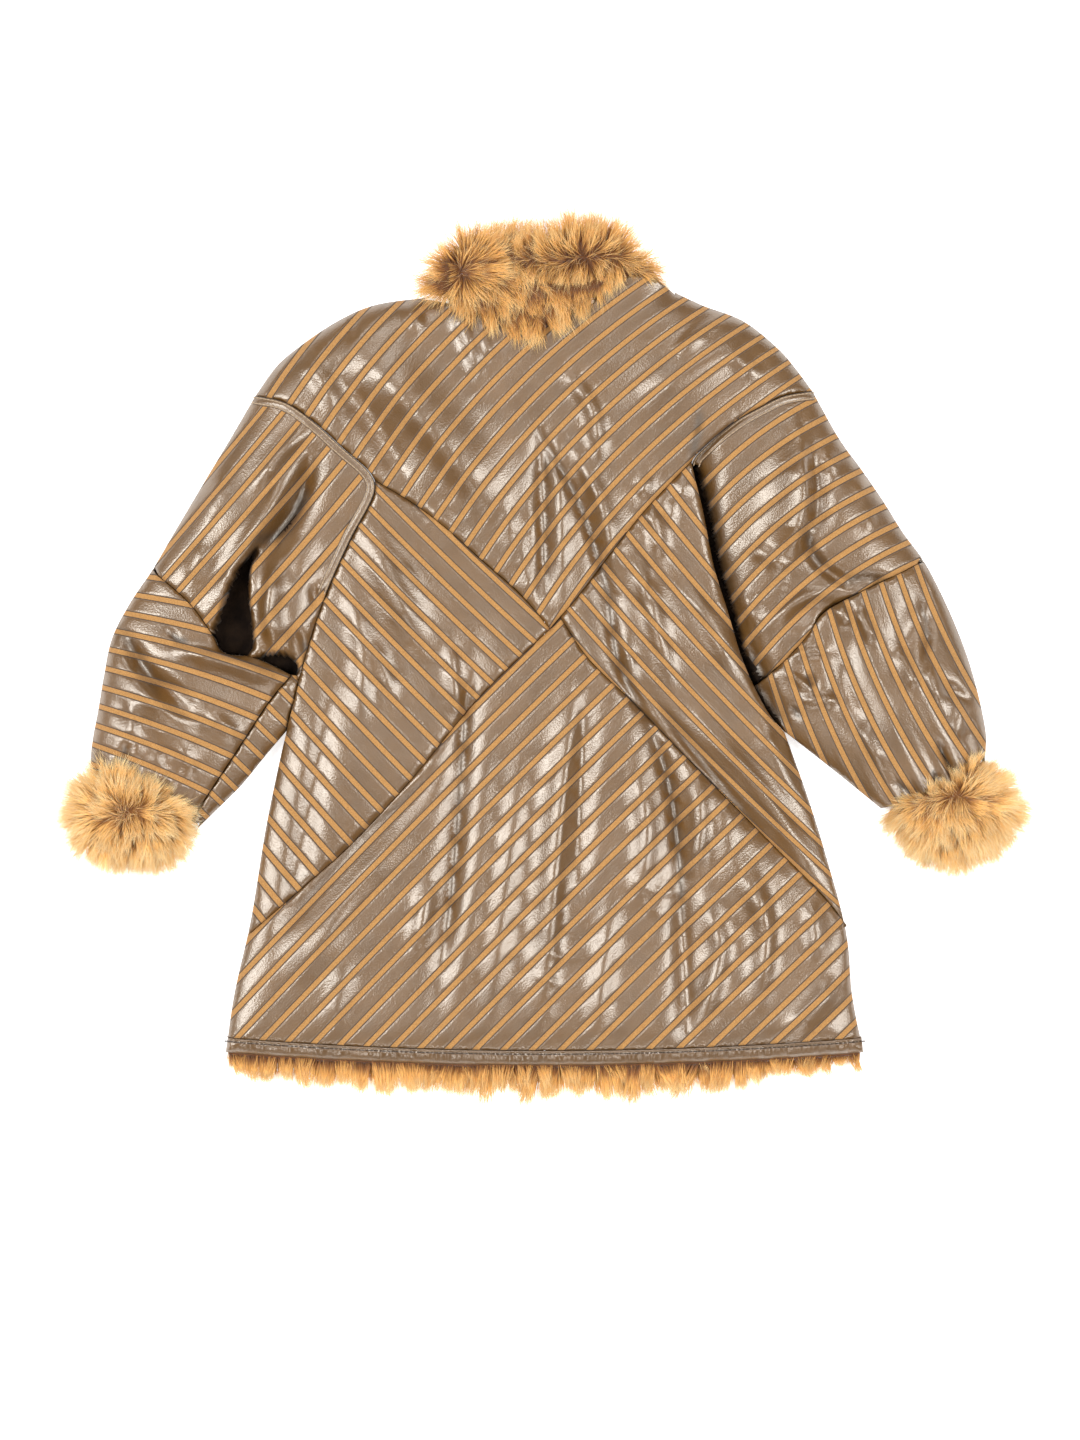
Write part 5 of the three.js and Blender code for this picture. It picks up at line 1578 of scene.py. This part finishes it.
collar_skin_outline = smooth([
    (-120, 400), (-114, 414), (-97, 433), (-80, 445), (-48, 449), (-5, 445), (22, 452), (52, 457),
    (76, 447), (101, 425), (116, 412), (104, 413), (82, 411), (56, 398), (40, 381), (12, 366),
    (-13, 358), (-38, 358), (-66, 373), (-98, 388),
], 4, closed=True)
collar_guides = [
    (-96, 431, -0.9, 0.5, 26), (-98, 415, -1, 0, 26), (-104, 404, -1, -0.2, 24),
    (-115, 425, -1, 0.2, 28), (-119, 404, -1, -0.15, 26), (-109, 441, -0.7, 0.6, 26),
    (-127, 394, -1, -0.2, 18), (-87, 445, -0.1, 1, 26), (-78, 452, 0.1, 1, 28), (-67, 443, 0.3, 0.9, 26),
    (-85, 427, 0.9, 0.5, 24), (-84, 419, 1, 0, 30), (-69, 423, 1, 0.15, 30), (-53, 423, 1, -0.1, 30),
    (-65, 412, 1, -0.35, 30), (-44, 415, 0.8, -0.6, 28), (-94, 402, 0.1, -1, 26),
    (-78, 400, 0.35, -1, 28), (-61, 398, 0.45, -1, 30), (-44, 394, 0.3, -1, 30),
    (-102, 388, -0.2, -1, 22), (-86, 381, 0.1, -1, 26), (-69, 377, 0.3, -1, 28), (-49, 373, 0.3, -1, 28),
    (-34, 377, 0.1, -1, 28), (-53, 441, 0.4, 0.9, 18), (-40, 433, 0.6, 0.6, 14), (-49, 456, 0.3, 1, 26),
    (-36, 460, 0.3, 1, 26), (-28, 433, -0.1, 1, 28), (-24, 448, 0.1, 1, 28), (-13, 456, 0.3, 0.9, 24),
    (-11, 437, -0.5, 0.85, 30), (1, 433, -0.6, 0.8, 32), (13, 433, -0.6, 0.8, 32),
    (26, 433, -0.5, 0.85, 30), (9, 452, -0.3, 1, 24), (24, 452, 0.1, 1, 28), (36, 441, -0.1, 1, 30),
    (48, 441, 0.2, 1, 32), (61, 439, 0.35, 1, 32), (73, 437, 0.45, 0.9, 30), (86, 435, 0.5, 0.85, 30),
    (57, 462, 0.2, 1, 26), (75, 454, 0.4, 1, 26), (-28, 426, 0.1, -1, 19), (-7, 423, -0.1, -1, 19),
    (15, 420, 0.1, -1, 19), (36, 423, 0, -1, 19), (57, 425, 0.1, -1, 19), (77, 427, 0, -1, 19),
    (92, 429, 0.2, -1, 19), (-24, 410, 0.1, -1, 16), (-11, 404, 0.2, -1, 24), (5, 406, 0.1, -1, 26),
    (22, 408, 0, -1, 28), (38, 410, -0.1, -1, 26), (55, 412, -0.2, -1, 24), (71, 415, -0.3, -1, 20),
    (88, 417, -0.2, -1, 14), (-22, 386, 0.1, -1, 26), (-3, 381, 0.1, -1, 28), (18, 381, 0.05, -1, 26),
    (34, 386, 0, -1, 26), (51, 394, 0.1, -1, 22), (100, 427, 0.8, 0.5, 28), (108, 421, 0.9, -0.1, 28),
    (117, 415, 0.7, -0.7, 26), (104, 410, 0.7, -0.7, 18), (98, 439, 0.8, 0.7, 26),
]
PILE_DEPTH = 9  # the skin lies that far below the tips, in mm
collar_skin = mound(
    "collar_skin", collar_skin_outline, lambda xy: collar_top(xy) - PILE_DEPTH, 10, collar_guides,
    lift=0.24)
furs = {"collar": furry("collar_hair", collar_skin, 17500, 11, lock=12, pull=0.75, turn=0.55)}

# %% [markdown]
# ## Cuffs
#
# A cuff is a strip of sheepskin turned back over the sleeve's end, so its hair stands out all round
# like a ball. The skin under it is a low mound, smaller than the cuff by the hair's own length. The
# guides show how the hair lies on each side. A sphere would comb it evenly, but worn hair parts and
# leans to one side, so the guides are given one by one. The cuffs' hair has paler colours than the
# collar's, as painted light.

# %% Cuffs
CUFF_SKIN_SHARE = 0.72

cuff_left_outline = smooth([
    (-484, -104), (-508, -134), (-526, -168), (-520, -203), (-500, -222), (-458, -230),
    (-420, -238), (-386, -226), (-373, -198), (-366, -164), (-398, -128), (-445, -108),
], 4, closed=True)
cuff_right_outline = smooth([
    (470, -88), (499, -117), (519, -142), (526, -168), (512, -194), (488, -214),
    (433, -232), (387, -222), (366, -196), (359, -158), (392, -136), (436, -110),
], 4, closed=True)


def cuff(name, outline, guides, seed):
    """The hair of one cuff, grown on a mound inside the cuff's outline."""
    centre = outline.mean(axis=0)
    inner = evenly(centre + CUFF_SKIN_SHARE * (outline - centre), 4)
    closed = np.vstack([inner, inner[:1]])

    def top(xy):
        return 14 + 50 * rounded_rise(nearest(closed, xy)[0] / 34)

    skin = mound(name + "_skin", inner, top, 8, guides)
    return furry(name + "_hair", skin, 14000, seed, lock=12, pull=0.75, turn=0.55, coat=painted_light_hair)


cuff_left_guides = [
    (-468, -153, -0.5, 0.8, 26), (-483, -142, -0.5, 0.8, 22), (-495, -153, -0.9, 0.4, 26),
    (-475, -165, -1, 0.1, 30), (-495, -170, -1, -0.2, 30), (-514, -163, -0.9, -0.2, 26),
    (-508, -182, -0.6, -0.8, 28), (-485, -185, -0.4, -0.9, 30), (-468, -188, -0.3, -0.95, 30),
    (-514, -200, -0.4, -0.9, 24), (-493, -206, -0.2, -1, 26), (-470, -208, -0.1, -1, 26),
    (-453, -203, 0, -1, 26), (-453, -138, 0, 1, 20), (-443, -153, 0.3, 0.95, 22),
    (-431, -156, 0.4, 0.9, 18), (-416, -165, 0.6, 0.5, 14), (-438, -170, 0.4, -0.6, 22),
    (-426, -178, 0.3, -0.95, 28), (-411, -180, 0.5, -0.85, 28), (-399, -185, 0.7, -0.7, 24),
    (-413, -200, 0, -1, 26), (-399, -204, 0.2, -1, 24), (-436, -198, -0.2, -1, 26),
    (-433, -213, -0.1, -1, 22), (-413, -219, 0.1, -1, 20), (-390, -198, 0.5, -0.8, 20),
]
furs["cuff_left"] = cuff("cuff_left", cuff_left_outline, cuff_left_guides, 21)
cuff_right_guides = [
    (463, -134, 0.8, 0.5, 26), (488, -119, 0.9, -0.1, 24), (476, -142, 1, 0.1, 30),
    (500, -140, 0.9, -0.4, 26), (463, -160, 0.9, -0.3, 30), (482, -165, 0.8, -0.6, 28),
    (500, -165, 0.7, -0.7, 26), (457, -170, 0.5, -0.85, 30), (469, -187, 0.3, -0.95, 28),
    (488, -189, 0.3, -0.95, 26), (441, -160, 0.05, -1, 30), (426, -160, -0.2, -1, 30),
    (411, -160, -0.3, -0.95, 28), (396, -167, -0.4, -0.9, 26), (384, -172, -0.5, -0.8, 24),
    (374, -179, -0.6, -0.8, 20), (389, -189, 0.2, -1, 24), (407, -189, -0.1, -1, 28),
    (426, -189, -0.1, -1, 28), (445, -196, 0, -1, 26), (383, -202, 0.4, -0.9, 20),
    (401, -212, 0.2, -1, 20), (404, -150, -0.2, 0.9, 9), (421, -145, -0.2, 0.9, 9),
    (438, -139, -0.2, 0.9, 8), (451, -132, 0.1, 0.9, 8), (463, -126, 0.3, 0.9, 9),
    (472, -119, 0.4, 0.9, 10),
]
furs["cuff_right"] = cuff("cuff_right", cuff_right_outline, cuff_right_guides, 31)

# %% [markdown]
# ## Hair under the hem
#
# The hair inside the coat reaches lower than the leather, so it hangs out below the hem band. Two
# thin bars of skin, one for the back and one for the fronts, carry it. Their guides are worked out
# along the hem: the hair is longest in the middle, shorter at the right end, and leans this way and
# that. Large locks give it the ragged edge that such a hem has.

# %% Hem hair
def hem_skin(name, low, high, length):
    """A bar of skin along the hem, from level low to level high, with hair of that length."""
    x = np.linspace(-HEM_HALF + 4, HEM_HALF - 4, 120)
    start = hem_at(x)
    rows = [(5, low), (5, high), (-1, high - 1), (-3, (low + high) / 2), (-1, low + 1)]
    points = np.vstack([np.column_stack([x, start + y, np.full(len(x), z)]) for y, z in rows])
    faces = []
    count = len(x)
    for i in range(len(rows)):
        k = (i + 1) % len(rows)
        for j in range(count - 1):
            faces.append((i * count + j, i * count + j + 1, k * count + j + 1, k * count + j))
    faces.append([i * count for i in range(len(rows))])
    faces.append([i * count + count - 1 for i in range(len(rows))][::-1])
    obj = mesh_object(name, points, faces, [sheep_hair])
    spots = np.linspace(-HEM_HALF, HEM_HALF, 70)
    turns = uneven(np.stack([spots, spots * 0], axis=1), 12, 6.5)
    guides = [(s, hem_at(s) - 2, 0.5 * t, -1, length(s)) for s, t in zip(spots, turns)]
    comb_hair(obj, guides, 0.12)
    return obj


def right_end(x):
    """How much shorter the hair hangs out at the right end of the hem."""
    return 7 * np.maximum(0, x / HEM_HALF) ** 3


back_bar = hem_skin("back_skin", 13, 20, lambda x: 24 + 9 * hem_arc(x) - right_end(x))
furs["hem_fur_back"] = furry(
    "hem_hair_back", back_bar, 15000, 41, lock=19, pull=0.5, turn=0.6, thickness=0.02, droop=0.15)
front_bar = hem_skin("front_skin", 5, 13, lambda x: 18 + 16 * hem_arc(x) - right_end(x))
furs["hem_fur_front"] = furry(
    "hem_hair_front", front_bar, 11000, 51, lock=16, pull=0.2, turn=0.4, thickness=0.022, droop=0.1)

# %% [markdown]
# ## Light and floor
#
# A garment on a table is lit by large soft lamps at both sides, high enough that only the slopes of the
# folds mirror them. Two long softboxes do that here. Two weaker ones, beyond the collar and the hem,
# soften the rest. The floor is plain and pale. It glows a little, so that it stays white under the coat.

# %% Light and floor
floor_mesh = bpy.data.meshes.new("floor")
floor_mesh.from_pydata([(-6, -6, 0), (6, -6, 0), (6, 6, 0), (-6, 6, 0)], [], [(0, 1, 2, 3)])
floor = bpy.data.objects.new("floor", floor_mesh)
bpy.context.scene.collection.objects.link(floor)
pale_floor = new_material(
    "pale_floor", Base_Color=(0.9, 0.9, 0.9, 1), Roughness=0.9, Emission_Color=(1, 1, 1, 1),
    Emission_Strength=0.7)[0]
floor_mesh.materials.append(pale_floor)


def softbox(name, place, size, power):
    """A rectangular lamp that points at the coat's middle. power is in watts."""
    light = bpy.data.lights.new(name, "AREA")
    light.shape = "RECTANGLE"
    light.size, light.size_y = size
    light.energy = power
    obj = bpy.data.objects.new(name, light)
    bpy.context.scene.collection.objects.link(obj)
    obj.location = place
    obj.rotation_euler = (-Vector(place)).to_track_quat("-Z", "Y").to_euler()
    print(name, power, "W")


softbox("softbox_left", (-3.1, 0.3, 4.1), (1.5, 3.4), 225)
softbox("softbox_right", (3.1, -0.3, 4.1), (1.5, 3.4), 190)
softbox("softbox_far", (0, 3.3, 3.9), (2.4, 0.9), 60)
softbox("softbox_near", (0, -3.8, 3.4), (2.6, 1.0), 58)
world = bpy.data.worlds.new("studio")
bpy.context.scene.world = world
world.use_nodes = True
background = world.node_tree.nodes["Background"]
background.inputs["Color"].default_value = (1, 1, 1, 1)
background.inputs["Strength"].default_value = 0.14
bpy.context.scene.view_settings.view_transform = "Standard"

# %% [markdown]
# ## Join the looks to the frame
#
# Each piece takes the place of its solid, which is hidden, and hangs on the frame's root. The
# stitches hang on the root too.

# %% Frame
for group, slot in ((shells, "leather"), (bands, "plain_leather"), (furs, "fur")):
    for name, obj in group.items():
        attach(obj, "root")
        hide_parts(name)
for obj in [hem_stitches] + arm_stitches["left"] + arm_stitches["right"]:
    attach(obj, "root")
